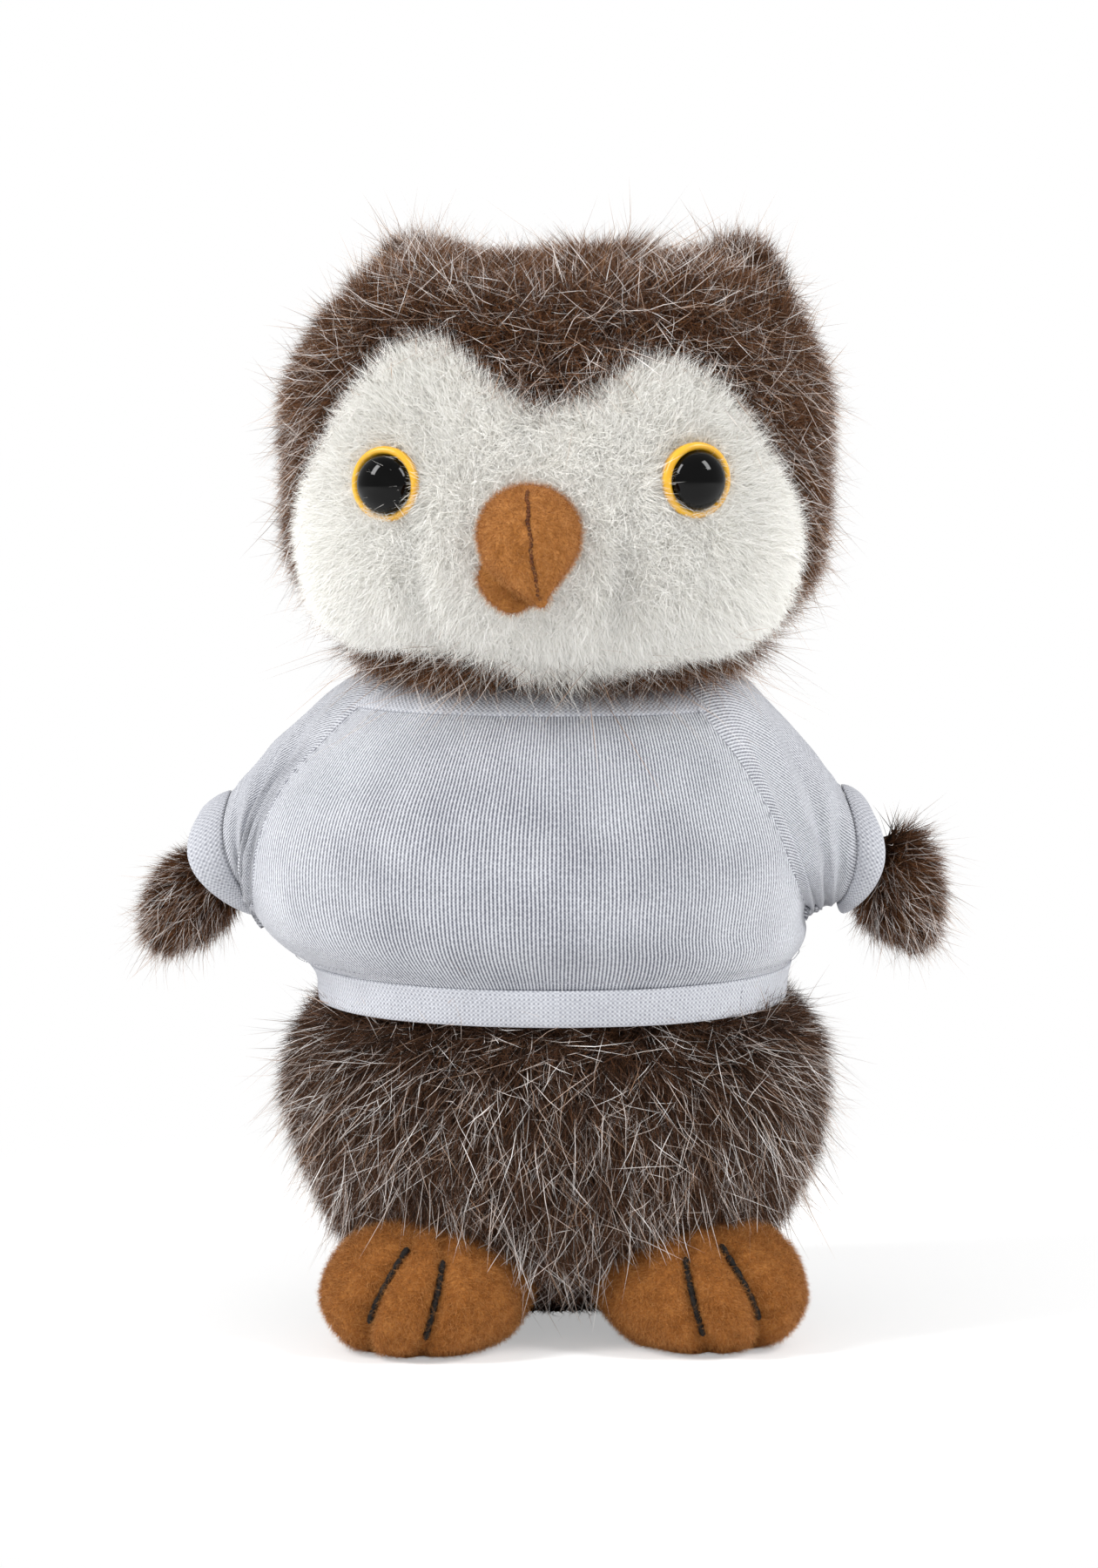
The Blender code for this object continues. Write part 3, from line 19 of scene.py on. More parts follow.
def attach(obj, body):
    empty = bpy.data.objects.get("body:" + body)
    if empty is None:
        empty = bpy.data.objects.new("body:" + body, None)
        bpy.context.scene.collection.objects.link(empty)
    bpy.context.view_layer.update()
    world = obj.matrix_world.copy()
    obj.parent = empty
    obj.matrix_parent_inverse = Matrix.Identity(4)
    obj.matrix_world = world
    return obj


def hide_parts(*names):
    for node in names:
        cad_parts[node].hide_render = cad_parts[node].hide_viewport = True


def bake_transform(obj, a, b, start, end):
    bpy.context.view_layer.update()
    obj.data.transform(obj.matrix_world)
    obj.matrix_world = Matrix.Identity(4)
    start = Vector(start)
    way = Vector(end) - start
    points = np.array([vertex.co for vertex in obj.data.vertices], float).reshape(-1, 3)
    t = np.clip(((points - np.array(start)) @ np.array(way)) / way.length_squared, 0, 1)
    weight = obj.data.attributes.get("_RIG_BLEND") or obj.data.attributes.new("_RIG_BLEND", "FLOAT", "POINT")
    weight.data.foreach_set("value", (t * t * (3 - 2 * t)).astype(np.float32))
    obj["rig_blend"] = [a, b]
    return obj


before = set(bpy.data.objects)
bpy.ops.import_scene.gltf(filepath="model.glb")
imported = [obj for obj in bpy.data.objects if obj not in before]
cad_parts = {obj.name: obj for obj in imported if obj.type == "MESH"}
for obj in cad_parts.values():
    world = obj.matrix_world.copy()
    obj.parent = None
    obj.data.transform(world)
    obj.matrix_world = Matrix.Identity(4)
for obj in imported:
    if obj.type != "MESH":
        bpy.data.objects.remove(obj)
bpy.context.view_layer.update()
log = logging.getLogger("plush_owl")

MM = 0.001
HAIR_MAP = "OFBake"
CLOTH_MAP = "cloth"
TONES = 32
NECK = 0.1073
FLOOR_GAP = 0.1 * MM
STRAND_TAPER = 0.55
STRAND_LAYERS = ("comb", "cover", "reach", "curl", "tone", "along", "across")


class Side(Enum):
    """Which of a pair."""

    LEFT = "left"
    RIGHT = "right"

    @property
    def sign(self) -> float:
        """Direction of X on this side."""
        return -1.0 if self is Side.LEFT else 1.0

    def pick(self, left: object, right: object) -> object:
        """What belongs to this side, of two."""
        return left if self is Side.LEFT else right


# Node helpers


def add_node(
    tree: bpy.types.NodeTree,
    kind: str,
    inputs: dict | None = None,
    stops: Sequence[tuple[float, str]] = (),
    **settings: object,
) -> bpy.types.Node:
    """Adds a node with its settings and links.

    Args:
        tree: the tree that gets it.
        kind: the node's type.
        inputs: socket name or index to a value or to the socket it links from.
        stops: places and hex colours, for a node that has a colour ramp.
        settings: the node's own properties.

    Returns:
        The node.
    """
    node = tree.nodes.new(kind)
    for key, value in settings.items():
        setattr(node, key, value)
    if stops:
        ramp = node.color_ramp.elements
        while len(ramp) < len(stops):
            ramp.new(1.0)
        for element, (place, colour) in zip(ramp, stops):
            element.position = place
            element.color = linear(colour)
    for key, value in (inputs or {}).items():
        if isinstance(key, int):
            socket = node.inputs[key]
        else:
            socket = next(s for s in node.inputs if s.enabled and s.name == key)
        if isinstance(value, bpy.types.NodeSocket):
            tree.links.new(value, socket)
        else:
            socket.default_value = value
    return node


def shown(node: bpy.types.Node, label: str) -> bpy.types.NodeSocket:
    """The output in use that has a name."""
    return next(s for s in node.outputs if s.enabled and s.name == label)


def linear(colour: str) -> tuple[float, float, float, float]:
    """Linear RGBA of an sRGB hex colour."""
    parts = [int(colour[i : i + 2], 16) / 255 for i in (1, 3, 5)]
    lit = [p / 12.92 if p <= 0.04045 else ((p + 0.055) / 1.055) ** 2.4 for p in parts]
    return (lit[0], lit[1], lit[2], 1.0)


# Materials


class Painter:
    """A Principled material in the making, with the nodes that finishes share."""

    def __init__(self, name: str) -> None:
        """Starts an empty material."""
        self.made = bpy.data.materials.new(name)
        self.made.use_nodes = True
        self.tree = self.made.node_tree
        self.shader = self.tree.nodes["Principled BSDF"]

    def node(self, kind: str, inputs: dict | None = None, **settings: object) -> bpy.types.Node:
        """Adds a node."""
        return add_node(self.tree, kind, inputs, **settings)

    def math(self, operation: str, *inputs: object) -> bpy.types.NodeSocket:
        """The result of a Math node."""
        sockets = dict(enumerate(inputs))
        return self.node("ShaderNodeMath", sockets, operation=operation).outputs[0]

    def place(self) -> bpy.types.NodeSocket:
        """Places in the object's own metres."""
        return self.node("ShaderNodeTexCoord").outputs["Object"]

    def chart(self, name: str) -> bpy.types.NodeSocket:
        """Places on a UV map."""
        return self.node("ShaderNodeUVMap", uv_map=name).outputs[0]

    def split(self, vector: bpy.types.NodeSocket) -> Sequence[bpy.types.NodeSocket]:
        """The three parts of a vector."""
        return self.node("ShaderNodeSeparateXYZ", {0: vector}).outputs

    def noise(
        self, place: bpy.types.NodeSocket, size: float, detail: float, **more: float
    ) -> bpy.types.Node:
        """A noise whose features have a size in metres."""
        inputs = {"Vector": place, "Scale": 1 / size, "Detail": detail, **more}
        return self.node("ShaderNodeTexNoise", inputs)

    def wave(self, run: bpy.types.NodeSocket, pitch: float) -> bpy.types.NodeSocket:
        """A sine of a pitch in metres, along a coordinate."""
        return self.math("SINE", self.math("MULTIPLY", run, math.tau / pitch))

    def ramp(self, share: bpy.types.NodeSocket, *stops: tuple[float, str]) -> bpy.types.NodeSocket:
        """The colour at a share of the way through the stops."""
        return self.node("ShaderNodeValToRGB", {0: share}, stops=stops).outputs[0]

    def span(
        self,
        value: bpy.types.NodeSocket,
        low: float,
        high: float,
        to: tuple[float, float] = (0.0, 1.0),
        **settings: object,
    ) -> bpy.types.NodeSocket:
        """A value between two limits, brought to two others."""
        inputs = {"Value": value, "From Min": low, "From Max": high}
        inputs |= {"To Min": to[0], "To Max": to[1]}
        return self.node("ShaderNodeMapRange", inputs, **settings).outputs[0]

    def give(self, values: dict[str, object]) -> None:
        """Sets inputs of the shader."""
        for label, value in values.items():
            self.shader.inputs[label].default_value = value

    def dress(
        self,
        colour: bpy.types.NodeSocket,
        values: dict[str, object],
        bump: tuple[bpy.types.NodeSocket, float, float] | None = None,
    ) -> bpy.types.Material:
        """Finishes the material.

        Args:
            colour: goes to the base colour.
            values: inputs of the shader.
            bump: height, its depth in metres and its strength.

        Returns:
            The material.
        """
        self.tree.links.new(colour, self.shader.inputs["Base Color"])
        if bump:
            inputs = dict(zip(("Height", "Distance", "Strength"), bump))
            relief = self.node("ShaderNodeBump", inputs)
            self.tree.links.new(relief.outputs[0], self.shader.inputs["Normal"])
        self.give(values)
        return self.made


class Finish:
    """A finish that can make its material."""

    name: str

    def build(self) -> bpy.types.Material:
        """Makes the material."""
        raise NotImplementedError


@dataclass(frozen=True)
class Hair(Finish):
    """Modacrylic pile: its colour runs from root to tip and differs by strand.

    The strand map holds the strand's tone across and the way to its tip up.
    """

    name: str
    light: tuple[tuple[float, str], ...]
    dark: tuple[tuple[float, str], ...]
    roughness: float = 0.5
    bias: float = 0.5

    def build(self) -> bpy.types.Material:
        """Makes the material."""
        paint = Painter(self.name)
        axes = paint.split(paint.chart(HAIR_MAP))
        column = paint.math("FLOOR", paint.math("MULTIPLY", axes[0], TONES))
        tone = paint.node("ShaderNodeTexWhiteNoise", {"W": column}, noise_dimensions="1D")
        share = paint.span(tone.outputs["Value"], self.bias - 0.5, self.bias + 0.5)
        deep, pale = (paint.ramp(axes[1], *stops) for stops in (self.dark, self.light))
        mixed = paint.node("ShaderNodeMix", {0: share, 6: deep, 7: pale}, data_type="RGBA")
        values = {"Roughness": self.roughness, "Specular IOR Level": 0.35}
        return paint.dress(mixed.outputs[2], values)


@dataclass(frozen=True)
class Mottled(Finish):
    """A finish whose colour and relief follow one noise.

    Attributes:
        deep, pale: the colours of its low and high places.
        size, detail: of the noise.
        deep_to, pale_from: where the two colours are reached.
        depth, strength: of the relief.
    """

    name: str
    deep: str
    pale: str
    roughness: float
    gloss: float
    size: float
    detail: float
    deep_to: float
    pale_from: float
    depth: float
    strength: float

    def build(self) -> bpy.types.Material:
        """Makes the material."""
        paint = Painter(self.name)
        blotch = paint.noise(paint.place(), self.size, self.detail).outputs[0]
        colour = paint.ramp(blotch, (self.deep_to, self.deep), (self.pale_from, self.pale))
        values = {"Roughness": self.roughness, "Specular IOR Level": self.gloss}
        return paint.dress(colour, values, (blotch, self.depth, self.strength))


@dataclass(frozen=True)
class KnitBacking(Mottled):
    """Knitted backing cloth that pile grows from: dull and mottled between hairs."""

    roughness: float = 0.95
    gloss: float = 0.1
    size: float = 2.2 * MM
    detail: float = 3.0
    deep_to: float = 0.3
    pale_from: float = 0.7
    depth: float = 0.6 * MM
    strength: float = 0.8


@dataclass(frozen=True)
class MouldedAbs(Mottled):
    """Injection-moulded ABS: even colour and gloss, with a faint flow unevenness."""

    gloss: float = 0.5
    size: float = 3 * MM
    detail: float = 2.0
    deep_to: float = 0.25
    pale_from: float = 0.75
    depth: float = 0.02 * MM
    strength: float = 0.2


@dataclass(frozen=True)
class TwistedThread(Mottled):
    """Spun polyester thread: two plies whose twist breaks its colour up finely."""

    roughness: float = 0.75
    gloss: float = 0.25
    size: float = 0.5 * MM
    detail: float = 2.0
    deep_to: float = 0.35
    pale_from: float = 0.7
    depth: float = 0.1 * MM
    strength: float = 0.6


@dataclass(frozen=True)
class Fleece(Finish):
    """Brushed polyester fleece: a matted nap with soft blotches and a little fuzz."""

    name: str
    deep: str
    mid: str
    pale: str

    def build(self) -> bpy.types.Material:
        """Makes the material."""
        paint = Painter(self.name)
        place = paint.place()
        blotch = paint.noise(place, 2.6 * MM, 5.0, Roughness=0.65)
        # Fibres about 0.15 mm thick, matted into locks about 0.45 mm wide
        nap = paint.noise(place, 0.45 * MM, 4.0, Roughness=0.7, Distortion=1.2)
        both = paint.math("ADD", blotch.outputs[0], nap.outputs[0])
        share = paint.span(both, 0.72, 1.28)
        colour = paint.ramp(share, (0.0, self.deep), (0.5, self.mid), (1.0, self.pale))
        values = {
            "Roughness": 0.95,
            "Specular IOR Level": 0.15,
            "Sheen Weight": 0.35,
            "Sheen Roughness": 0.5,
            "Sheen Tint": linear(self.pale),
        }
        return paint.dress(colour, values, (both, 0.35 * MM, 0.9))


@dataclass(frozen=True)
class Jersey(Finish):
    """Single jersey of bleached cotton: upright wales with small loops.

    Attributes:
        groove, face: colours between the wales and on them; the darker groove colour is painted shade
            between the wales.
        wale, course: distance of the wales and of the loops along them.
        depth: of the relief.
        front_shade: how much painted shade darkens the front over the belly.
        sway: how far the wales wander.
        loops: how much of the relief is loops rather than wales.
    """

    name: str
    groove: str
    face: str
    wale: float = 0.6 * MM
    course: float = 0.5 * MM
    depth: float = 0.14 * MM
    front_shade: float = 0.21
    sway: float = 0.00035
    loops: float = 0.28

    def build(self) -> bpy.types.Material:
        """Makes the material."""
        paint = Painter(self.name)
        place = paint.chart(CLOTH_MAP)
        drift = paint.noise(place, 9 * MM, 2.0).outputs
        swayed = paint.node(
            "ShaderNodeMix", {0: self.sway, 4: place, 5: drift[1]}, data_type="VECTOR"
        )
        axes = paint.split(swayed.outputs[1])
        across, along = paint.wave(axes[0], self.wale), paint.wave(axes[1], self.course)
        loop = paint.math("MULTIPLY", across, along)
        knit = paint.node("ShaderNodeMix", {0: self.loops, 2: across, 3: loop}).outputs[0]
        fuzz = paint.noise(place, 0.5 * MM, 3.0).outputs[0]
        height = paint.math("MULTIPLY_ADD", fuzz, 1.4, knit)
        cloud = paint.span(drift[0], 0.2, 0.8, (-0.09, 0.09))
        # Painted shade darkens the cloth over the belly, from 20 to 37 mm in front of the axis; the shade
        # below also holds a random cloud of tone
        belly = paint.span(paint.split(paint.place())[1], -0.020, -0.037, (0.0, -self.front_shade))
        shade = paint.math("ADD", cloud, belly)
        level = paint.math("ADD", paint.span(height, -0.5, 1.5), shade)
        # Painted shade: low places of the knit's relief, between the wales, take the darker groove colour
        colour = paint.ramp(level, (0.0, self.groove), (1.0, self.face))
        values = {"Roughness": 0.9, "Specular IOR Level": 0.2, "Sheen Weight": 0.15}
        return paint.dress(colour, values, (height, self.depth, 0.7))


@dataclass(frozen=True)
class PaintedFloor(Finish):
    """Matt white studio floor that burns out to white away from the owl."""

    name: str = "matt_floor_paint"
    colour: str = "#ffffff"
    near: float = 0.07
    far: float = 0.19
    least: float = 0.4

    def build(self) -> bpy.types.Material:
        """Makes the material."""
        paint = Painter(self.name)
        paint.give({"Base Color": linear(self.colour), "Roughness": 0.9})
        reach = paint.node("ShaderNodeVectorMath", {0: paint.place()}, operation="LENGTH")
        away = paint.span(
            reach.outputs["Value"],
            self.near,
            self.far,
            (self.least, 1.0),
            interpolation_type="SMOOTHSTEP",
        )
        path = paint.node("ShaderNodeLightPath")
        share = paint.math("MULTIPLY", away, path.outputs["Is Camera Ray"])
        white = paint.node("ShaderNodeEmission", {"Color": linear(self.colour)})
        mixed = paint.node(
            "ShaderNodeMixShader", {0: share, 1: paint.shader.outputs[0], 2: white.outputs[0]}
        )
        output = next(n for n in paint.tree.nodes if n.type == "OUTPUT_MATERIAL")
        paint.tree.links.new(mixed.outputs[0], output.inputs["Surface"])
        return paint.made


FINISHES: dict[str, Finish] = {
    "undercoat": Hair(
        "undercoat_pile",
        light=((0.0, "#1a0d06"), (0.45, "#58341b"), (1.0, "#9c683c")),
        dark=((0.0, "#0a0502"), (0.6, "#241207"), (1.0, "#4a2c16")),
        roughness=0.6,
    ),
    # Painted shade: a darker copy of the undercoat for the lower body
    "low_undercoat": Hair(
        "belly_undercoat_pile",
        light=((0.0, "#130904"), (0.5, "#432611"), (1.0, "#7d5230")),
        dark=((0.0, "#070301"), (0.6, "#1c0e05"), (1.0, "#3c2311")),
        roughness=0.65,
    ),
    "guard": Hair(
        "silver_guard_hair",
        light=((0.0, "#2a180c"), (0.22, "#6b4d38"), (0.45, "#e6dfda"), (1.0, "#ffffff")),
        dark=((0.0, "#190d06"), (0.45, "#5c3a20"), (1.0, "#b2804e")),
        roughness=0.30,
        bias=0.40,
    ),
    # Painted light: a paler copy of the guard hair, with more silver, for the head, which is lit from above
    # more than the body
    "brow_guard": Hair(
        "silver_brow_guard_hair",
        light=((0.0, "#2a180c"), (0.20, "#7d6250"), (0.42, "#ece6e2"), (1.0, "#ffffff")),
        dark=((0.0, "#190d06"), (0.45, "#64401f"), (1.0, "#ba8854")),
        roughness=0.28,
        bias=0.46,
    ),
    "white_pile": Hair(
        "white_face_pile",
        light=((0.0, "#f2efe7"), (0.5, "#faf9f5"), (1.0, "#fdfdfb")),
        dark=((0.0, "#e6e3d9"), (0.5, "#f2f0ea"), (1.0, "#f8f7f3")),
        roughness=0.55,
    ),
    "fleece_fuzz": Hair(
        "caramel_fleece_fuzz",
        light=((0.0, "#9a5f2a"), (1.0, "#cf9a5c")),
        dark=((0.0, "#7c4819"), (1.0, "#ab7236")),
        roughness=0.7,
    ),
    "backing": KnitBacking("brown_knit_backing", "#1c120c", "#3a281c"),
    "white_backing": KnitBacking("white_knit_backing", "#efece3", "#f8f6f1"),
    "foot_fleece": Fleece("caramel_fleece_foot", "#6e4119", "#905827", "#b67b40"),
    "beak_fleece": Fleece("caramel_fleece_beak", "#81501f", "#a86e38", "#c48a50"),
    # Painted shade: a darker copy of the beak fleece for the lower lobe, under the upper lobe
    "beak_low_fleece_painted_shade": Fleece("shaded_fleece_beak", "#7c491f", "#93602f", "#a67039"),
    "jersey": Jersey("white_single_jersey", "#595b66", "#dfe1e7"),
    "band": Jersey(
        "white_jersey_band",
        "#8c8e98",
        "#d3d5db",
        wale=0.75 * MM,
        course=0.7 * MM,
        # A weaker painted shade over the belly on the bands
        front_shade=0.05,
        sway=0.0001,
        loops=0.75,
    ),
    "pupil": MouldedAbs("black_abs", "#060606", "#030303", 0.04, gloss=0.15),
    "iris": MouldedAbs("yellow_abs", "#d39b1e", "#e2b02c", 0.34),
    "washer": MouldedAbs("natural_washer_plastic", "#cfcfca", "#d9d9d5", 0.5),
    "black_thread": TwistedThread("black_spun_thread", "#070606", "#1d1916"),
    "brown_thread": TwistedThread("brown_spun_thread", "#3a1c0c", "#6e3d1d"),
    "seam_thread": TwistedThread("grey_seam_thread", "#7c7d85", "#b3b4bc"),
}


@cache
def finish(key: str) -> bpy.types.Material:
    """The material of a finish, made once."""
    return FINISHES[key].build()


# Mesh helpers


def spline(knots: np.ndarray, values: np.ndarray, at: np.ndarray) -> np.ndarray:
    """Values of a smooth curve through the knots."""
    knots, values, at = (np.asarray(a, float) for a in (knots, values, at))
    slope = np.gradient(values, knots, axis=0)
    low = np.clip(np.searchsorted(knots, at, side="right") - 1, 0, len(knots) - 2)
    span = knots[low + 1] - knots[low]
    u = (at - knots[low]) / span
    if values.ndim > 1:
        u, span = u[..., None], span[..., None]
    return (
        values[low] * (1 + 2 * u) * (1 - u) ** 2
        + values[low + 1] * u * u * (3 - 2 * u)
        + span * slope[low] * u * (1 - u) ** 2
        - span * slope[low + 1] * u * u * (1 - u)
    )


def chord_length(rows: np.ndarray) -> np.ndarray:
    """Distance run along the rows, as shares of the whole."""
    steps = np.linalg.norm(np.diff(rows, axis=0), axis=1)
    run = np.concatenate([[0.0], np.cumsum(steps)])
    return run / run[-1]


def lumps(points: np.ndarray, size: float, seed: float) -> np.ndarray:
    """Smooth noise from -1 to 1 at each point, with features of a size."""
    flat = points.reshape(-1, 3) / size + seed
    values = [noise.noise(Vector(p)) for p in flat]
    return np.array(values).reshape(points.shape[:-1])


def share(value: np.ndarray | float) -> np.ndarray:
    """A value kept between 0 and 1."""
    return np.clip(value, 0.0, 1.0)


def turns(count: int) -> np.ndarray:
    """Angles spread evenly round a circle."""
    return np.arange(count) * math.tau / count


def bell(value: np.ndarray, middle: float, spread: float) -> np.ndarray:
    """A smooth bump of height 1."""
    return np.exp(-(((value - middle) / spread) ** 2))


def grid_normals(grid: np.ndarray, closed: bool) -> np.ndarray:
    """Unit normals of a grid of rows, pointing away from its middle line."""
    if closed:
        around = np.roll(grid, -1, axis=1) - np.roll(grid, 1, axis=1)
    else:
        around = np.gradient(grid, axis=1)
    along = np.gradient(grid, axis=0)
    normal = np.cross(around, along)
    size = np.linalg.norm(normal, axis=-1, keepdims=True)
    normal = normal / np.maximum(size, 1e-12)
    middle = grid.mean(axis=1, keepdims=True)
    if closed and np.sum(normal * (grid - middle)) < 0.0:
        normal = -normal
    return normal


def grid_mesh(
    name: str,
    grid: np.ndarray,
    closed: bool = True,
    first: np.ndarray | None = None,
    last: np.ndarray | None = None,
    even: bool = False,
) -> bpy.types.Mesh:
    """A mesh over a grid of rows, with a map in metres of its cloth.

    Args:
        name: the mesh's name.
        grid: rows by columns of points.
        closed: whether each row is a ring.
        first: a pole that closes the first row.
        last: a pole that closes the last row.
        even: maps each ring in its own length, both ways from its first point.

    Returns:
        The mesh, shaded smooth.
    """
    rows, cols = grid.shape[:2]
    around = np.linalg.norm(np.diff(grid, axis=1, append=grid[:, :1]), axis=-1)
    u = np.concatenate([[0.0], np.cumsum(around.mean(axis=0))])
    runs = np.tile(u, (rows, 1))
    if even:
        runs[:, 1:] = np.cumsum(around, axis=1)
        for _ in range(60):
            beside = np.vstack([runs[:1], runs, runs[-1:]])
            runs = (beside[:-2] + 2.0 * beside[1:-1] + beside[2:]) / 4.0
    along = np.linalg.norm(np.diff(grid, axis=0), axis=-1).mean(axis=1)
    v = np.concatenate([[0.0], np.cumsum(along)])
    wide = cols if closed else cols - 1
    faces, places = [], []
    for i in range(rows - 1):
        k = i + 1
        for j in range(wide):
            m = (j + 1) % cols
            faces.append((i * cols + j, i * cols + m, k * cols + m, k * cols + j))
            near, far = runs[i], runs[i + 1]
            if even and j >= cols // 2:
                near, far = near - near[-1], far - far[-1]
            places += [(near[j], v[i]), (near[j + 1], v[i])]
            places += [(far[j + 1], v[i + 1]), (far[j], v[i + 1])]
    points = [tuple(p) for p in grid.reshape(-1, 3)]
    for row, pole, turned in ((0, first, True), (rows - 1, last, False)):
        if pole is None:
            continue
        tip = len(points)
        points.append(tuple(pole))
        reach = np.linalg.norm(grid[row] - pole, axis=-1).mean()
        height = v[row] + (-reach if turned else reach)
        for j in range(cols):
            m = (j + 1) % cols
            a, b = row * cols + j, row * cols + m
            faces.append((b, a, tip) if turned else (a, b, tip))
            ends = [(u[j + 1], v[row]), (u[j], v[row])]
            places += (ends if turned else ends[::-1]) + [((u[j] + u[j + 1]) / 2, height)]
    mesh = bpy.data.meshes.new(name)
    mesh.from_pydata(points, [], faces)
    layer = mesh.uv_layers.new(name=CLOTH_MAP)
    layer.data.foreach_set("uv", np.array(places, np.float32).ravel())
    mesh.shade_smooth()
    mesh.update()
    return mesh


def signed_volume(mesh: bpy.types.Mesh) -> float:
    """Six times the volume that the faces hold, negative where they point in."""
    mesh.calc_loop_triangles()
    points = np.array([v.co[:] for v in mesh.vertices])
    corners = np.array([t.vertices[:] for t in mesh.loop_triangles])
    a, b, c = points[corners[:, 0]], points[corners[:, 1]], points[corners[:, 2]]
    return float(np.einsum("ij,ij->i", a, np.cross(b, c)).sum())


def piece(name: str, mesh: bpy.types.Mesh, key: str) -> bpy.types.Object:
    """Links a mesh into the scene under a name, with a finish."""
    made = bpy.data.objects.new(name, mesh)
    bpy.context.scene.collection.objects.link(made)
    mesh.materials.clear()
    mesh.materials.append(finish(key))
    return made


def outward(mesh: bpy.types.Mesh) -> bpy.types.Mesh:
    """Flips a closed mesh that is inside out."""
    if signed_volume(mesh) < 0.0:
        mesh.flip_normals()
    return mesh


def set_points(mesh: bpy.types.Mesh, name: str, values: np.ndarray) -> None:
    """Stores a number or a vector on each point of a mesh."""
    kind = "FLOAT" if values.ndim == 1 else "FLOAT_VECTOR"
    layer = mesh.attributes.new(name, kind, "POINT")
    layer.data.foreach_set(
        "value" if values.ndim == 1 else "vector", values.astype(np.float32).ravel()
    )


def set_hair(
    mesh: bpy.types.Mesh, cover: np.ndarray, reach: np.ndarray, comb: np.ndarray
) -> None:
    """Stores how dense, how long and which way hair grows on each point."""
    for name, values in (("cover", cover), ("reach", reach), ("comb", comb)):
        set_points(mesh, name, values)


def capped(
    name: str,
    rings: np.ndarray,
    first: np.ndarray,
    last: np.ndarray,
    place: Callable[[np.ndarray], np.ndarray],
) -> bpy.types.Mesh:
    """A closed mesh over rings and two poles, put where it belongs."""
    return outward(grid_mesh(name, place(rings), first=place(first), last=place(last)))


def thicken(made: bpy.types.Object, thickness: float) -> None:
    """Gives a sheet of cloth its thickness, inwards."""
    solid = made.modifiers.new("thickness", "SOLIDIFY")
    solid.thickness = thickness
    solid.offset = -1.0
    solid.use_rim = True


def settled(made: bpy.types.Object) -> bpy.types.Object:
    """Applies a piece's modifiers to its mesh."""
    graph = bpy.context.evaluated_depsgraph_get()
    mesh = bpy.data.meshes.new_from_object(made.evaluated_get(graph), depsgraph=graph)
    mesh.name = made.name
    made.modifiers.clear()
    made.data = mesh
    return made


def turned_head(points: np.ndarray, degrees: float) -> np.ndarray:
    """Points or directions turned about the vertical."""
    turn = math.radians(degrees)
    matrix = np.array(
        [
            [math.cos(turn), -math.sin(turn), 0.0],
            [math.sin(turn), math.cos(turn), 0.0],
            [0.0, 0.0, 1.0],
        ]
    )
    return points @ matrix.T


# Geometry Nodes, fur and nap

BLANKS: list[bpy.types.Object] = []


def blank(name: str, mesh: bpy.types.Mesh) -> bpy.types.Object:
    """An unlinked object that trees copy, and that goes at the end."""
    BLANKS.append(bpy.data.objects.new(name, mesh))
    return BLANKS[-1]


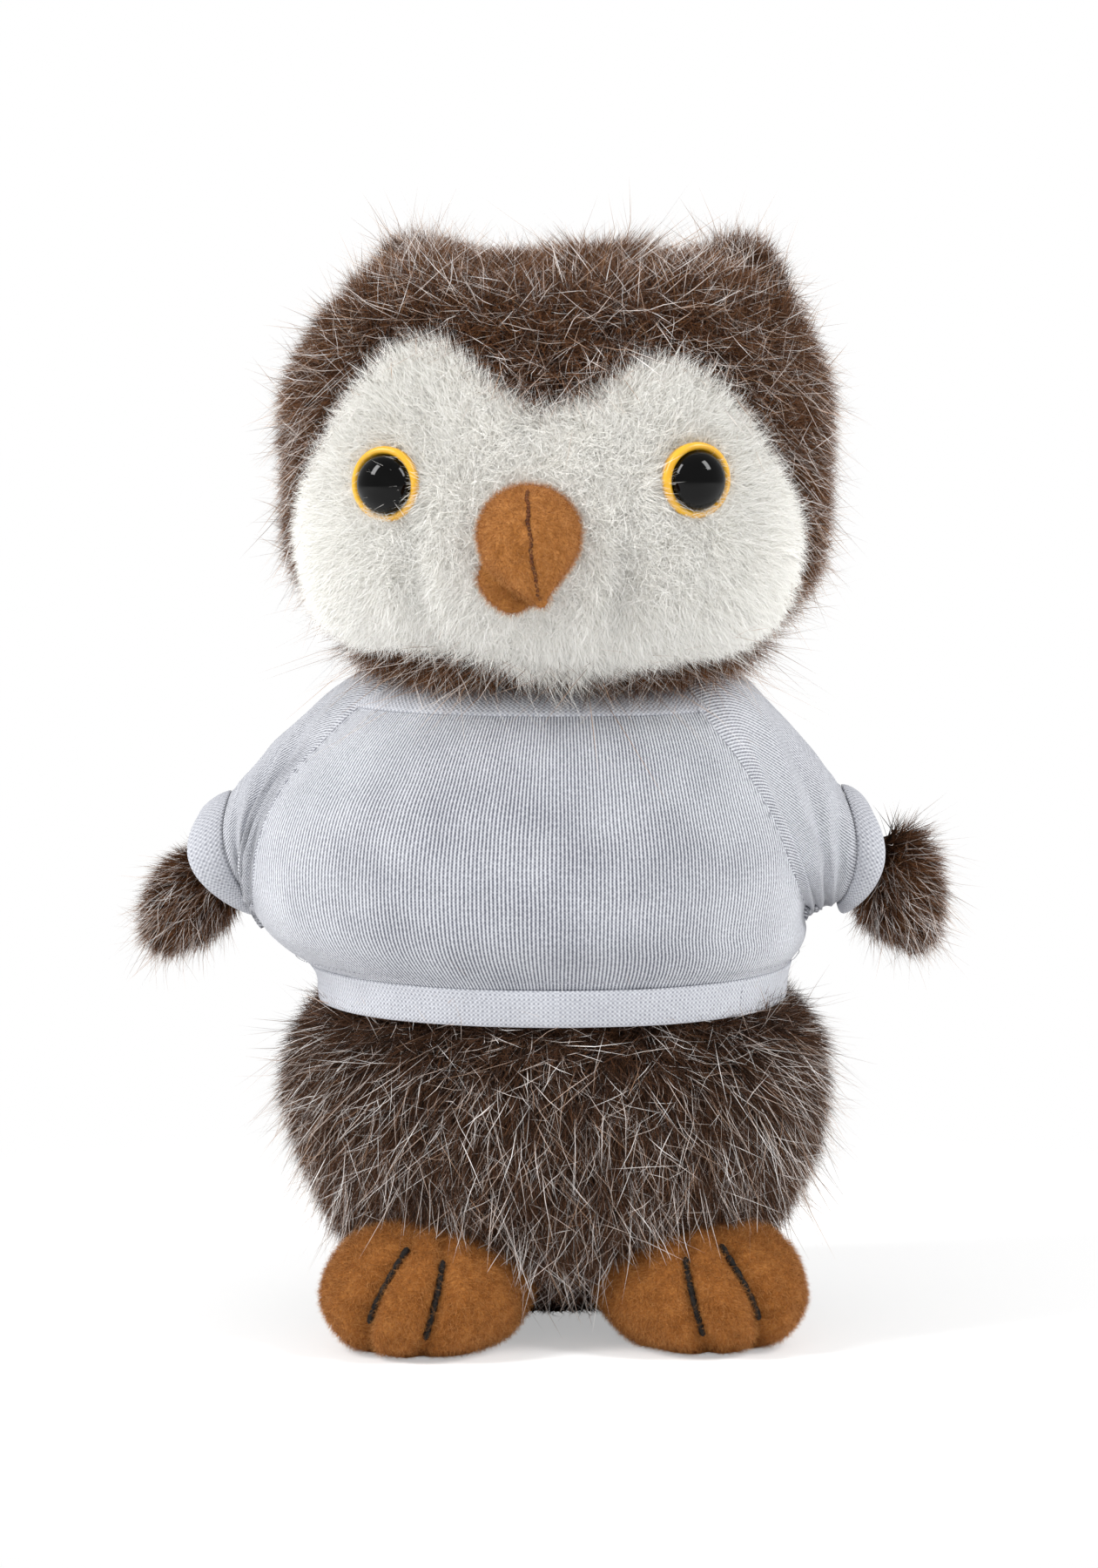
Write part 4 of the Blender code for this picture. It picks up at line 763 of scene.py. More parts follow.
class NodeRule:
    """A Geometry Nodes tree with named inputs, applied as a modifier."""

    NAME: str
    OUTPUT: str
    SOCKETS: dict[str, tuple[str, ...]]

    def __init__(self) -> None:
        """Builds the tree."""
        self.tree = bpy.data.node_groups.new(self.NAME, "GeometryNodeTree")
        face = self.tree.interface
        self.keys = {
            label: face.new_socket(
                label, in_out="INPUT", socket_type=f"NodeSocket{kind}"
            ).identifier
            for kind, labels in self.SOCKETS.items()
            for label in labels
        }
        face.new_socket(self.OUTPUT, in_out="OUTPUT", socket_type="NodeSocketGeometry")
        self.given = self.node("NodeGroupInput").outputs
        self.node("NodeGroupOutput", {0: self.wire()})

    def wire(self) -> bpy.types.NodeSocket:
        """Lays out the tree's nodes and returns what it puts out."""
        raise NotImplementedError

    def node(self, kind: str, inputs: dict | None = None, **settings: object) -> bpy.types.Node:
        """Adds a node."""
        return add_node(self.tree, kind, inputs, **settings)

    def number(self, operation: str, *inputs: object) -> bpy.types.NodeSocket:
        """The result of a Math node."""
        sockets = dict(enumerate(inputs))
        return self.node("ShaderNodeMath", sockets, operation=operation).outputs[0]

    def vector(self, operation: str, *inputs: object) -> bpy.types.NodeSocket:
        """The result of a Vector Math node."""
        sockets = dict(enumerate(inputs))
        if operation == "SCALE":
            sockets = {0: inputs[0], "Scale": inputs[1]}
        return self.node("ShaderNodeVectorMath", sockets, operation=operation).outputs[0]

    def joined(self, x: object, y: object, z: object) -> bpy.types.NodeSocket:
        """A vector of three numbers."""
        return self.node("ShaderNodeCombineXYZ", {0: x, 1: y, 2: z}).outputs[0]

    def stored(self, name: str, kind: str = "FLOAT") -> bpy.types.NodeSocket:
        """A named attribute."""
        made = self.node("GeometryNodeInputNamedAttribute", {"Name": name}, data_type=kind)
        return shown(made, "Attribute")

    def store(
        self,
        shape: bpy.types.NodeSocket,
        name: str,
        value: bpy.types.NodeSocket,
        kind: str,
        domain: str = "POINT",
    ) -> bpy.types.NodeSocket:
        """Stores a named attribute on a geometry."""
        return self.node(
            "GeometryNodeStoreNamedAttribute",
            {"Geometry": shape, "Name": name, "Value": value},
            data_type=kind,
            domain=domain,
        ).outputs[0]

    def cloned(
        self,
        points: bpy.types.NodeSocket,
        source: bpy.types.NodeSocket,
        rotation: bpy.types.NodeSocket,
        scale: bpy.types.NodeSocket,
    ) -> bpy.types.NodeSocket:
        """Copies of an object on points, made real."""
        shape = self.node("GeometryNodeObjectInfo", {"Object": source}).outputs["Geometry"]
        inputs = {"Points": points, "Instance": shape, "Rotation": rotation, "Scale": scale}
        placed = self.node("GeometryNodeInstanceOnPoints", inputs)
        return self.node("GeometryNodeRealizeInstances", {0: placed.outputs[0]}).outputs[0]

    def dressed(
        self, shape: bpy.types.NodeSocket, material: bpy.types.NodeSocket
    ) -> bpy.types.NodeSocket:
        """A geometry with its material."""
        inputs = {"Geometry": shape, "Material": material}
        return self.node("GeometryNodeSetMaterial", inputs).outputs[0]

    def apply(self, name: str, source: bpy.types.Mesh, values: dict) -> bpy.types.Object:
        """Makes a piece of what the tree makes of a mesh.

        Args:
            name: the piece's name.
            source: the mesh that goes in.
            values: the tree's other inputs by label.

        Returns:
            The piece, with plain faces and no modifier.
        """
        made = bpy.data.objects.new(name, source)
        bpy.context.scene.collection.objects.link(made)
        modifier = made.modifiers.new(self.NAME, "NODES")
        modifier.node_group = self.tree
        for label, value in values.items():
            modifier[self.keys[label]] = value
        return settled(made)


class FurTree(NodeRule):
    """Grows strands from a skin."""

    NAME = "pile_on_skin"
    OUTPUT = "Pile Mesh"
    SHAPE = (
        "Length", "Spread", "Width", "Lean", "Lift", "Swirl", "Swirl Size", "Jitter",
        "Bend", "Droop",
    )
    SOCKETS = {
        "Geometry": ("Skin",),
        "Object": ("Strand",),
        "Float": ("Density", *SHAPE, "Floor"),
        "Int": ("Seed",),
        "Material": ("Pile",),
    }

    def chance(self, low: object, high: object, step: int) -> bpy.types.NodeSocket:
        """A random number or vector for each strand."""
        seed = self.number("ADD", self.given["Seed"], float(step))
        whole = self.node("FunctionNodeFloatToInt", {0: seed}).outputs[0]
        made = self.node(
            "FunctionNodeRandomValue",
            {"Min": low, "Max": high, "Seed": whole},
            data_type="FLOAT_VECTOR" if isinstance(low, tuple) else "FLOAT",
        )
        return shown(made, "Value")

    def way(self, normal: bpy.types.NodeSocket) -> bpy.types.NodeSocket:
        """The direction in which each strand leaves the skin."""
        given = self.given
        place = self.node("GeometryNodeInputPosition").outputs[0]
        fine = self.number("DIVIDE", 1.0, given["Swirl Size"])
        swirl = self.node("ShaderNodeTexNoise", {"Vector": place, "Scale": fine, "Detail": 1.0})
        turned = self.vector("SUBTRACT", swirl.outputs[1], (0.5, 0.5, 0.5))
        wild = self.chance((-1.0, -1.0, -1.0), (1.0, 1.0, 1.0), 1)
        way = self.vector("SCALE", self.stored("comb", "FLOAT_VECTOR"), given["Lean"])
        for direction, amount in ((turned, "Swirl"), (wild, "Jitter")):
            part = self.vector("SCALE", direction, given[amount])
            way = self.vector("ADD", way, part)
        way = self.vector("SUBTRACT", way, self.vector("PROJECT", way, normal))
        rise = self.number("MULTIPLY", given["Lift"], self.chance(0.5, 1.5, 7))
        way = self.vector("NORMALIZE", way)
        way = self.vector("ADD", way, self.vector("SCALE", normal, rise))
        return self.vector("NORMALIZE", way)

    def wire(self) -> bpy.types.NodeSocket:
        """Lays out the tree's nodes and returns what it puts out."""
        given = self.given
        density = self.number("MULTIPLY", given["Density"], self.stored("cover"))
        scatter = self.node(
            "GeometryNodeDistributePointsOnFaces",
            {"Mesh": given["Skin"], "Density": density, "Seed": given["Seed"]},
        )
        way = self.way(scatter.outputs["Normal"])
        aimed = self.node("FunctionNodeAlignRotationToVector", {"Vector": way}, axis="Z")
        roll = self.joined(0.0, 0.0, self.chance(0.0, math.tau, 2))
        rolled = self.node("FunctionNodeEulerToRotation", {0: roll})
        turn = self.node(
            "FunctionNodeRotateRotation",
            {"Rotation": aimed.outputs[0], "Rotate By": rolled.outputs[0]},
            rotation_space="LOCAL",
        )
        size = self.number("MULTIPLY", given["Length"], self.stored("reach"))
        odds = self.number("MULTIPLY", self.chance(-1.0, 1.0, 3), given["Spread"])
        long = self.number("MULTIPLY_ADD", size, odds, size)
        thick = self.number("MULTIPLY", given["Width"], self.chance(0.7, 1.3, 4))
        stray = self.chance((-1.0, -1.0, -1.0), (1.0, 1.0, 1.0), 5)
        curl = self.vector("SCALE", stray, given["Bend"])
        sink = self.joined(0.0, 0.0, self.number("MULTIPLY", given["Droop"], -1.0))
        curl = self.vector("SCALE", self.vector("ADD", curl, sink), long)
        points = self.store(scatter.outputs["Points"], "curl", curl, "FLOAT_VECTOR")
        points = self.store(points, "tone", self.chance(0.0, 1.0, 6), "FLOAT")
        scale = self.joined(thick, thick, long)
        real = self.cloned(points, given["Strand"], turn.outputs[0], scale)
        along = self.stored("along")
        arc = self.number("MULTIPLY", along, along)
        offset = self.vector("SCALE", self.stored("curl", "FLOAT_VECTOR"), arc)
        bent = self.node("GeometryNodeSetPosition", {"Geometry": real, "Offset": offset})
        spot = self.node("GeometryNodeInputPosition").outputs[0]
        low = self.vector("MAXIMUM", spot, self.joined(-10.0, -10.0, given["Floor"]))
        kept = self.node(
            "GeometryNodeSetPosition", {"Geometry": bent.outputs[0], "Position": low}
        )
        tone = self.number("MULTIPLY", self.stored("tone"), TONES - 0.01)
        tone = self.number("FLOOR", tone)
        inside = self.number("MULTIPLY_ADD", self.stored("across"), 0.5, 0.25)
        column = self.number("DIVIDE", self.number("ADD", tone, inside), float(TONES))
        climb = self.number("MULTIPLY_ADD", along, 0.96, 0.02)
        chart = self.joined(column, climb, 0.0)
        mapped = self.store(kept.outputs[0], HAIR_MAP, chart, "FLOAT2", "CORNER")
        return self.dressed(mapped, given["Pile"])


fur_tree = cache(FurTree)


@cache
def strand_blank(segments: int) -> bpy.types.Object:
    """One strand of unit length and width: a tapered ribbon, unlinked."""
    rows = np.linspace(0.0, 1.0, segments + 1)[:-1]
    points, along, across = [], [], []
    for t in rows:
        half = 0.5 * (1.0 - STRAND_TAPER * t)
        points += [(-half, 0.0, t), (half, 0.0, t)]
        along += [t, t]
        across += [0.0, 1.0]
    points.append((0.0, 0.0, 1.0))
    along.append(1.0)
    across.append(0.5)
    faces = [(2 * i, 2 * i + 1, 2 * i + 3, 2 * i + 2) for i in range(segments - 1)]
    faces.append((2 * segments - 2, 2 * segments - 1, 2 * segments))
    mesh = bpy.data.meshes.new(f"strand_{segments}")
    mesh.from_pydata(points, [], faces)
    set_points(mesh, "along", np.array(along))
    set_points(mesh, "across", np.array(across))
    return blank(mesh.name, mesh)


@dataclass(frozen=True)
class Coat:
    """One kind of hair, as it grows on a skin.

    Attributes:
        density: strands on each square metre.
        length: of a strand.
        spread: how far lengths differ, as a share.
        width: of a strand at its root.
        lean: how strongly strands follow the comb.
        lift: how steeply they rise from the skin, as rise over run.
        swirl: how strongly tufts lean their own way.
        swirl_size: the size of a tuft.
        jitter: how far single strands stray.
        bend: how far tips curve, as a share of the length.
        droop: how far tips sink, as a share of the length.
        segments: bends in a strand.
        finish: key of its material.
    """

    density: float
    length: float
    spread: float
    width: float
    lean: float
    lift: float
    swirl: float
    swirl_size: float
    jitter: float
    bend: float
    droop: float
    segments: int
    finish: str

    def grow(
        self, skin: bpy.types.Mesh, name: str, seed: int, share: float = 1.0
    ) -> bpy.types.Object:
        """Grows the hair over a skin.

        Args:
            skin: a mesh with cover, reach and comb on its points.
            name: the piece's name.
            seed: of everything random in it.
            share: of the density.

        Returns:
            The hair as a piece of its own.
        """
        values = {
            "Strand": strand_blank(self.segments),
            "Density": self.density * share,
            "Floor": FLOOR_GAP,
            "Seed": seed,
            "Pile": finish(self.finish),
        }
        for label in FurTree.SHAPE:
            values[label] = getattr(self, label.lower().replace(" ", "_"))
        made = fur_tree().apply(name, skin, values)
        for layer in list(made.data.attributes):
            if layer.name in STRAND_LAYERS:
                made.data.attributes.remove(layer)
        return made

    def cover(self, mesh: bpy.types.Mesh, name: str, slot: str) -> bpy.types.Object:
        """Grows hair evenly over a closed piece."""
        skin = mesh.copy()
        count = len(skin.vertices)
        set_hair(skin, np.ones(count), np.ones(count), np.tile([0.1, 0.0, -1.0], (count, 1)))
        made = self.grow(skin, name, 51)
        return made


FUZZ = Coat(
    15.0e6, 1.2 * MM, 0.50, 0.06 * MM, 0.35, 0.90, 1.2, 3 * MM, 0.90, 0.0, 0.0, 1,
    "fleece_fuzz",
)


# Stuffed forms, in the shares that the CAD forms have

BODY_SHARES = (
    (0.000, 0.000, 0.000), (0.003, 0.273, 0.278), (0.012, 0.455, 0.468),
    (0.037, 0.602, 0.595), (0.079, 0.705, 0.696), (0.135, 0.795, 0.797),
    (0.209, 0.898, 0.911), (0.284, 0.968, 0.977), (0.363, 1.000, 1.000),
    (0.442, 0.973, 0.982), (0.507, 0.891, 0.927), (0.549, 0.900, 0.937),
    (0.628, 0.998, 0.982), (0.712, 0.975, 0.962), (0.786, 0.914, 0.916),
    (0.842, 0.872, 0.880), (0.898, 0.824, 0.830), (0.944, 0.752, 0.752),
    (0.977, 0.646, 0.655), (0.994, 0.518, 0.546), (1.000, 0.416, 0.456),
)
HEAD_SHARES = (
    (0.000, 0.410, 0.468), (0.010, 0.513, 0.545), (0.024, 0.615, 0.636),
    (0.047, 0.736, 0.743), (0.088, 0.843, 0.847), (0.162, 0.925, 0.925),
    (0.295, 0.982, 0.987), (0.457, 1.000, 1.000), (0.633, 1.000, 0.987),
    (0.781, 0.964, 0.935), (0.884, 0.914, 0.856), (0.950, 0.826, 0.742),
    (0.985, 0.652, 0.570), (0.9985, 0.340, 0.300), (1.000, 0.000, 0.000),
)
FACE_TOP_SHARES = (
    (0.00, 0.817), (0.10, 0.870), (0.21, 0.960), (0.33, 1.000), (0.46, 0.970),
    (0.63, 0.851), (0.75, 0.724), (0.89, 0.567), (0.96, 0.455), (1.00, 0.385),
)
FACE_BOTTOM_SHARES = (
    (0.00, 0.000), (0.30, 0.002), (0.55, 0.020), (0.82, 0.062), (0.93, 0.140),
    (1.00, 0.255),
)


@dataclass(frozen=True)
class StuffedForm:
    """Squared ellipses stacked along Z, as the CAD forms are."""

    foot: float
    height: float
    half_width: float
    half_depth: float
    squareness: float
    shares: tuple

    def section(self, run: np.ndarray) -> np.ndarray:
        """Height, half width and half depth at shares of the profile's run."""
        size = np.array([self.height, self.half_width, self.half_depth])
        rows = np.array(self.shares) * size + np.array([self.foot, 0.0, 0.0])
        return np.maximum(spline(chord_length(rows), rows, run), [self.foot, 0.0, 0.0])

    def run_at(self, height: np.ndarray | float) -> np.ndarray:
        """Share of the run at which the profile reaches a height."""
        run = np.linspace(0.0, 1.0, 1201)
        return np.interp(height, np.maximum.accumulate(self.section(run)[:, 0]), run)

    def point(self, azimuth: np.ndarray, run: np.ndarray) -> np.ndarray:
        """Points of the surface at angles from the front and shares of the run."""
        high = self.section(np.ravel(run)).reshape(np.shape(run) + (3,))
        power = 2.0 / self.squareness
        across, ahead = np.sin(azimuth), np.cos(azimuth)
        return np.stack(
            [
                high[..., 1] * np.sign(across) * np.abs(across) ** power,
                -high[..., 2] * np.sign(ahead) * np.abs(ahead) ** power,
                high[..., 0],
            ],
            axis=-1,
        )

    def surface(
        self, azimuth: np.ndarray, run: np.ndarray, offset: np.ndarray | float
    ) -> np.ndarray:
        """Points of the surface, moved out along its normal."""
        azimuth, run = np.broadcast_arrays(
            np.asarray(azimuth, float), np.asarray(run, float)
        )
        turn, step = 0.02, 0.004
        low, high = share(run - step), share(run + step)
        round_it = self.point(azimuth + turn, run) - self.point(azimuth - turn, run)
        up_it = self.point(azimuth, high) - self.point(azimuth, low)
        normal = np.cross(round_it, up_it)
        size = np.linalg.norm(normal, axis=-1, keepdims=True)
        pole = np.zeros_like(normal)
        pole[..., 2] = np.where(run < 0.5, -1.0, 1.0)
        flat = size < 1e-9 * self.half_width
        normal = np.where(flat, pole, normal / np.where(flat, 1.0, size))
        offset = np.broadcast_to(np.asarray(offset, float), azimuth.shape)
        return self.point(azimuth, run) + normal * offset[..., None]

    def front_angle(self, reach: float, height: float) -> float:
        """Angle from the front at which the form is this far from its middle."""
        width = float(self.section(np.array([self.run_at(height)]))[0, 1])
        return math.asin(min(reach / width, 1.0) ** (self.squareness / 2.0))


BODY = StuffedForm(-0.0005, 0.1075, 0.0440, 0.0395, 2.15, BODY_SHARES)
HEAD = StuffedForm(NECK, 0.0679, 0.0439, 0.0385, 2.35, HEAD_SHARES)


@dataclass(frozen=True)
class Limb:
    """A round-ended limb swept along a spine."""

    spine: tuple
    girth: tuple
    half_width: float
    half_thickness: float
    side: tuple[float, float, float]

    def frame_at(self, run: float) -> tuple[np.ndarray, np.ndarray, np.ndarray]:
        """Place, direction and width vector at a share of the spine."""
        spine = np.asarray(self.spine, float)
        knots = chord_length(spine)
        ends = spline(knots, spine, share([run - 1e-3, run + 1e-3]))
        ahead = (ends[1] - ends[0]) / np.linalg.norm(ends[1] - ends[0])
        across = np.asarray(self.side, float) - ahead * np.dot(self.side, ahead)
        across = across / np.linalg.norm(across)
        return spline(knots, spine, np.array([run]))[0], ahead, across

    def girth_at(self, run: float) -> np.ndarray:
        """Half width and half thickness at a share of the spine."""
        shares = np.asarray(self.girth, float)
        row = spline(shares[:, 0], shares[:, 1:], np.array([run]))[0]
        return row * np.array([self.half_width, self.half_thickness])

    def rings(
        self, count: int, steps: int, shrink: float = 0.0
    ) -> tuple[np.ndarray, np.ndarray, np.ndarray, np.ndarray]:
        """Rings from root to tip, both poles and each ring's share.

        Args:
            count: points round it.
            steps: rings between its round ends.
            shrink: distance by which it is drawn in.
        """
        turn = turns(count)
        rows, shares = [], []

        def add(run: float, swell: float, shift: float) -> None:
            middle, ahead, across = self.frame_at(run)
            wide, thick = np.maximum(self.girth_at(run) - shrink, 0.2 * MM) * swell
            through = np.cross(ahead, across)
            rows.append(
                middle
                + ahead * shift
                + np.outer(np.cos(turn), across) * wide
                + np.outer(np.sin(turn), through) * thick
            )
            shares.append(run)

        ends = (0.2, 0.42, 0.62, 0.78, 0.9, 0.975)
        root = max(self.girth_at(0.0)[1] - shrink, 0.2 * MM)
        tip = max(self.girth_at(1.0)[1] - shrink, 0.2 * MM)
        for part in ends:
            add(0.0, part, -root * math.sqrt(1 - part**2))
        for run in np.linspace(0.0, 1.0, steps):
            add(run, 1.0, 0.0)
        for part in reversed(ends):
            add(1.0, part, tip * math.sqrt(1 - part**2))
        start, ahead, _ = self.frame_at(0.0)
        end, ahead_end, _ = self.frame_at(1.0)
        return (
            np.array(rows),
            start - ahead * root,
            end + ahead_end * tip,
            np.array(shares),
        )


# The owl's body


@dataclass
class BodyPlush:
    """The stuffed body below and under the shirt, with its long pile."""

    pile_depth: float = 2.9 * MM
    under_shirt: float = 3.0 * MM
    hem_bottom: float = 0.0536
    columns: int = 96
    rows: int = 64
    undercoat: Coat = field(
        default_factory=lambda: Coat(
            14.0e6, 5.6 * MM, 0.50, 0.20 * MM, 0.70, 0.75, 1.7, 5 * MM, 0.55, 0.0, 0.0,
            1, "low_undercoat",
        )
    )
    guard: Coat = field(
        default_factory=lambda: Coat(
            1.6e6, 8.4 * MM, 0.40, 0.14 * MM, 0.65, 0.42, 1.6, 7 * MM, 0.50, 0.60, 0.10,
            3, "guard",
        )
    )

    def skin(self) -> bpy.types.Mesh:
        """The backing under the pile, with where and how hair grows."""
        low = BODY.run_at(0.4 * MM)
        run = np.linspace(float(low), 1.0, self.rows)
        azimuth = turns(self.columns)
        across, up = np.meshgrid(azimuth, run)
        height = BODY.section(run)[:, 0][:, None] + 0 * across
        covered = 1.0 / (1.0 + np.exp(-(height - 0.0555) / 0.0008))
        depth = self.pile_depth + (self.under_shirt - self.pile_depth) * covered
        dressed = share((height - 0.0530) / 0.002)
        dressed = dressed * share((0.0850 - height) / 0.006)
        sides = np.where(across < math.pi, 3.8 * MM, 2.2 * MM) * np.sin(across) ** 2
        depth = depth + sides * dressed
        depth = depth * np.clip(height / 0.006, 0.25, 1.0)
        front = share(np.cos(across) * 1.4)
        tucked = front * share(1.0 - height / 0.018)
        depth = depth + 5.4 * MM * tucked
        grid = BODY.surface(across, up, -depth)
        grid += grid_normals(grid, True) * (lumps(grid, 11 * MM, 3.1) * 0.7 * MM)[..., None]
        grid[..., 2] = np.maximum(grid[..., 2], 0.3 * MM)
        foot = np.array([0.0, 0.0, 0.3 * MM])
        top = np.array([0.0, 0.0, grid[-1, :, 2].mean()])
        mesh = grid_mesh("body_backing", grid, first=foot, last=top)
        height = np.append(grid[..., 2].ravel(), [foot[2], top[2]])
        tucked = np.append(tucked.ravel(), [1.0, 0.0])
        cover = share((0.0572 - height) / 0.0015)
        cover *= np.clip((height - 0.0012) / 0.004, 0.15, 1.0)
        cover *= 1.0 - share(1.4 * tucked - 0.75)
        reach = np.clip(0.55 + height / 0.020, 0.6, 1.0) * (1.0 - 0.62 * tucked)
        reach *= 1.0 - 0.35 * share((height - 0.0525) / 0.003)
        comb = np.zeros((len(height), 3))
        comb[:, 2] = -1.0 + 0.9 * tucked + 0.7 * share((height - 0.045) / 0.007)
        set_hair(mesh, cover, reach, comb)
        return mesh

    def build(self) -> list[bpy.types.Object]:
        """Makes the backing and its hair."""
        mesh = self.skin()
        hair = [
            self.undercoat.grow(mesh, "body_undercoat_a", 11, 0.5),
            self.undercoat.grow(mesh, "body_undercoat_b", 12, 0.5),
            self.guard.grow(mesh, "body_guard_hair_a", 13, 0.5),
            self.guard.grow(mesh, "body_guard_hair_b", 14, 0.5),
        ]
        backing = piece("body_backing", mesh, "backing")
        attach(backing, "body")
        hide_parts("body_skin", "body_stuffing")
        for made in hair:
            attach(made, "body")
        return [backing, *hair]


# The owl's head


@dataclass
class HeadPlush:
    """The head: brown pile with two ear tufts, and the white face let into it."""

    turn: float = -4.3
    pile_depth: float = 2.7 * MM
    face_half_angle: float = 69.5
    face_bottom: float = 0.0037
    face_height: float = 0.0504
    face_pile: float = 1.8 * MM
    face_inset: float = 1.8 * MM
    side_inset: float = 3.4 * MM
    cheek_swell: float = 3.0 * MM
    muzzle_swell: float = 4.0 * MM
    left_ear: float = 0.0235
    right_ear: float = 0.0300
    undercoat: Coat = field(
        default_factory=lambda: Coat(
            14.0e6, 5.0 * MM, 0.50, 0.20 * MM, 0.55, 0.80, 1.7, 5 * MM, 0.60, 0.0, 0.0,
            1, "undercoat",
        )
    )
    guard: Coat = field(
        default_factory=lambda: Coat(
            2.5e6, 6.8 * MM, 0.40, 0.14 * MM, 0.62, 0.40, 1.7, 6 * MM, 0.60, 0.65, 0.06,
            3, "brow_guard",
        )
    )
    pile: Coat = field(
        default_factory=lambda: Coat(
            32.0e6, 2.8 * MM, 0.35, 0.15 * MM, 0.80, 0.80, 1.5, 5 * MM, 0.50, 0.0, 0.0,
            1, "white_pile",
        )
    )
    fluff: Coat = field(
        default_factory=lambda: Coat(
            9.0e6, 4.3 * MM, 0.40, 0.09 * MM, 0.95, 0.45, 1.2, 7 * MM, 0.45, 0.15, 0.0,
            3, "white_pile",
        )
    )

    def face_edges(self, azimuth: np.ndarray) -> tuple[np.ndarray, np.ndarray]:
        """Heights of the face's lower and upper edge at an angle from the front."""
        half = math.radians(self.face_half_angle) - self.side_inset / HEAD.half_width
        out = share(np.abs(azimuth) / half)
        top, bottom = np.array(FACE_TOP_SHARES), np.array(FACE_BOTTOM_SHARES)
        base = HEAD.foot + self.face_bottom
        base = base + 2.2 * MM * bell(azimuth, math.radians(-27), math.radians(20))
        base = base - 1.6 * MM * bell(azimuth, math.radians(11), math.radians(15))
        return (
            base + self.face_height * spline(bottom[:, 0], bottom[:, 1], out),
            base
            + self.face_height * spline(top[:, 0], top[:, 1], out)
            - self.face_inset
            - 2.0 * MM * bell(np.abs(azimuth), math.radians(37), math.radians(24)),
        )

    def face_relief(self, azimuth: np.ndarray, height: np.ndarray, edge: np.ndarray) -> np.ndarray:
        """How far the white pile stands out of the head's form."""
        cheek = bell(np.abs(azimuth), math.radians(36), math.radians(24)) * bell(
            height, HEAD.foot + 0.0165, 0.0130
        )
        muzzle = bell(azimuth, 0.0, math.radians(20)) * bell(
            height, HEAD.foot + 0.0215, 0.0140
        )
        furrow = bell(azimuth, 0.0, math.radians(4)) * bell(
            height, HEAD.foot + 0.0400, 0.0080
        )
        fade = share(edge)
        fade = np.sqrt(fade * (2.0 - fade))
        low = bell(height, HEAD.foot + 0.0200, 0.0120)
        crease = bell(azimuth, math.radians(13), math.radians(3.5)) * low
        crease = crease + bell(azimuth, math.radians(-21), math.radians(4.5)) * low
        swell = self.cheek_swell * cheek + self.muzzle_swell * muzzle - 1.0 * MM * furrow
        swell = swell - 1.3 * MM * crease
        return (self.face_pile + swell) * fade

    def placed(self, points: np.ndarray) -> np.ndarray:
        """Points of the straight head, turned to where it looks."""
        return turned_head(points, self.turn)

    def head_skin(self) -> bpy.types.Mesh:
        """The brown backing with where and how hair grows."""
        rows, columns = 60, 112
        run = np.linspace(0.0, 0.985, rows)
        azimuth = turns(columns)
        across, up = np.meshgrid(azimuth, run)
        form = HEAD.point(across, up)
        above = share((form[..., 2] - HEAD.foot - 0.046) / 0.018)
        corner = above * share((np.abs(form[..., 0]) - 0.020) / 0.016)
        sunk = np.where(form[..., 0] < 0.0, 4.9 * MM, 2.6 * MM) * corner
        between = share((0.0215 - np.abs(form[..., 0] - 0.0030)) / 0.006)
        crest = share((form[..., 2] - HEAD.foot - 0.060) / 0.006)
        sunk = sunk + (1.5 * between - 0.4) * MM * crest
        below = share((HEAD.foot + 0.018 - form[..., 2]) / 0.014)
        below = below * np.clip((form[..., 2] - HEAD.foot - 0.001) / 0.004, 0.3, 1.0)
        sunk = sunk + 3.6 * MM * below * share((np.abs(form[..., 0]) - 0.016) / 0.014)
        grid = HEAD.surface(across, up, -self.pile_depth - sunk)
        grid[:, :, 2] = np.maximum(grid[:, :, 2], NECK + 0.2 * MM)
        grid += grid_normals(grid, True) * (lumps(grid, 12 * MM, 7.7) * 0.6 * MM)[..., None]
        foot = np.array([0.0, 0.0, grid[0, :, 2].mean()])
        top = np.array([0.0, 0.0, HEAD.foot + HEAD.height - self.pile_depth])
        height = HEAD.section(up.ravel())[:, 0].reshape(up.shape)
        signed = (across + math.pi) % math.tau - math.pi
        low, high = self.face_edges(signed)
        half = math.radians(self.face_half_angle)
        beside = (np.abs(signed) - half) * HEAD.half_width + self.side_inset
        away = np.maximum(np.maximum(low - height, height - high), beside)
        cover = share((away + 0.4 * MM) / (0.8 * MM))
        under = share((HEAD.foot + 0.010 - height) / 0.010)
        front = share(np.cos(signed))
        reach = 1.0 - 0.35 * share(1.0 - away / (5 * MM)) * (away > -1) * (1 - under)
        fray = lumps(grid, 5 * MM, 2.2)
        reach = reach * (1.0 + (0.60 + 0.55 * front + 0.7 * fray) * under)
        tuft = bell(form[..., 0], 7.7 * MM, 4.5 * MM) * bell(form[..., 1], -6 * MM, 12 * MM)
        reach = reach * (1.0 + 0.85 * tuft * (above > 0.9))
        crown = share((height - HEAD.foot - 0.052) / 0.012)
        comb = np.zeros(grid.shape)
        comb[..., 0] = np.sin(signed) * 0.3
        comb[..., 1] = -np.cos(signed) * 0.3
        comb[..., 2] = -0.35 + 1.0 * crown - 0.9 * under
        mesh = grid_mesh("head_backing", self.placed(grid), first=foot, last=self.placed(top))
        thin = np.clip((grid[..., 2].ravel() - NECK + 2 * MM) / (3 * MM), 0.3, 1.0)
        cover = np.append(cover.ravel() * thin, [0.0, 1.0])
        reach = np.append(reach.ravel(), [1.0, 1.0])
        comb = np.vstack([comb.reshape(-1, 3), [0, 0, -1.0], [0, 0, 1.0]])
        set_hair(mesh, cover, reach, self.placed(comb))
        return mesh

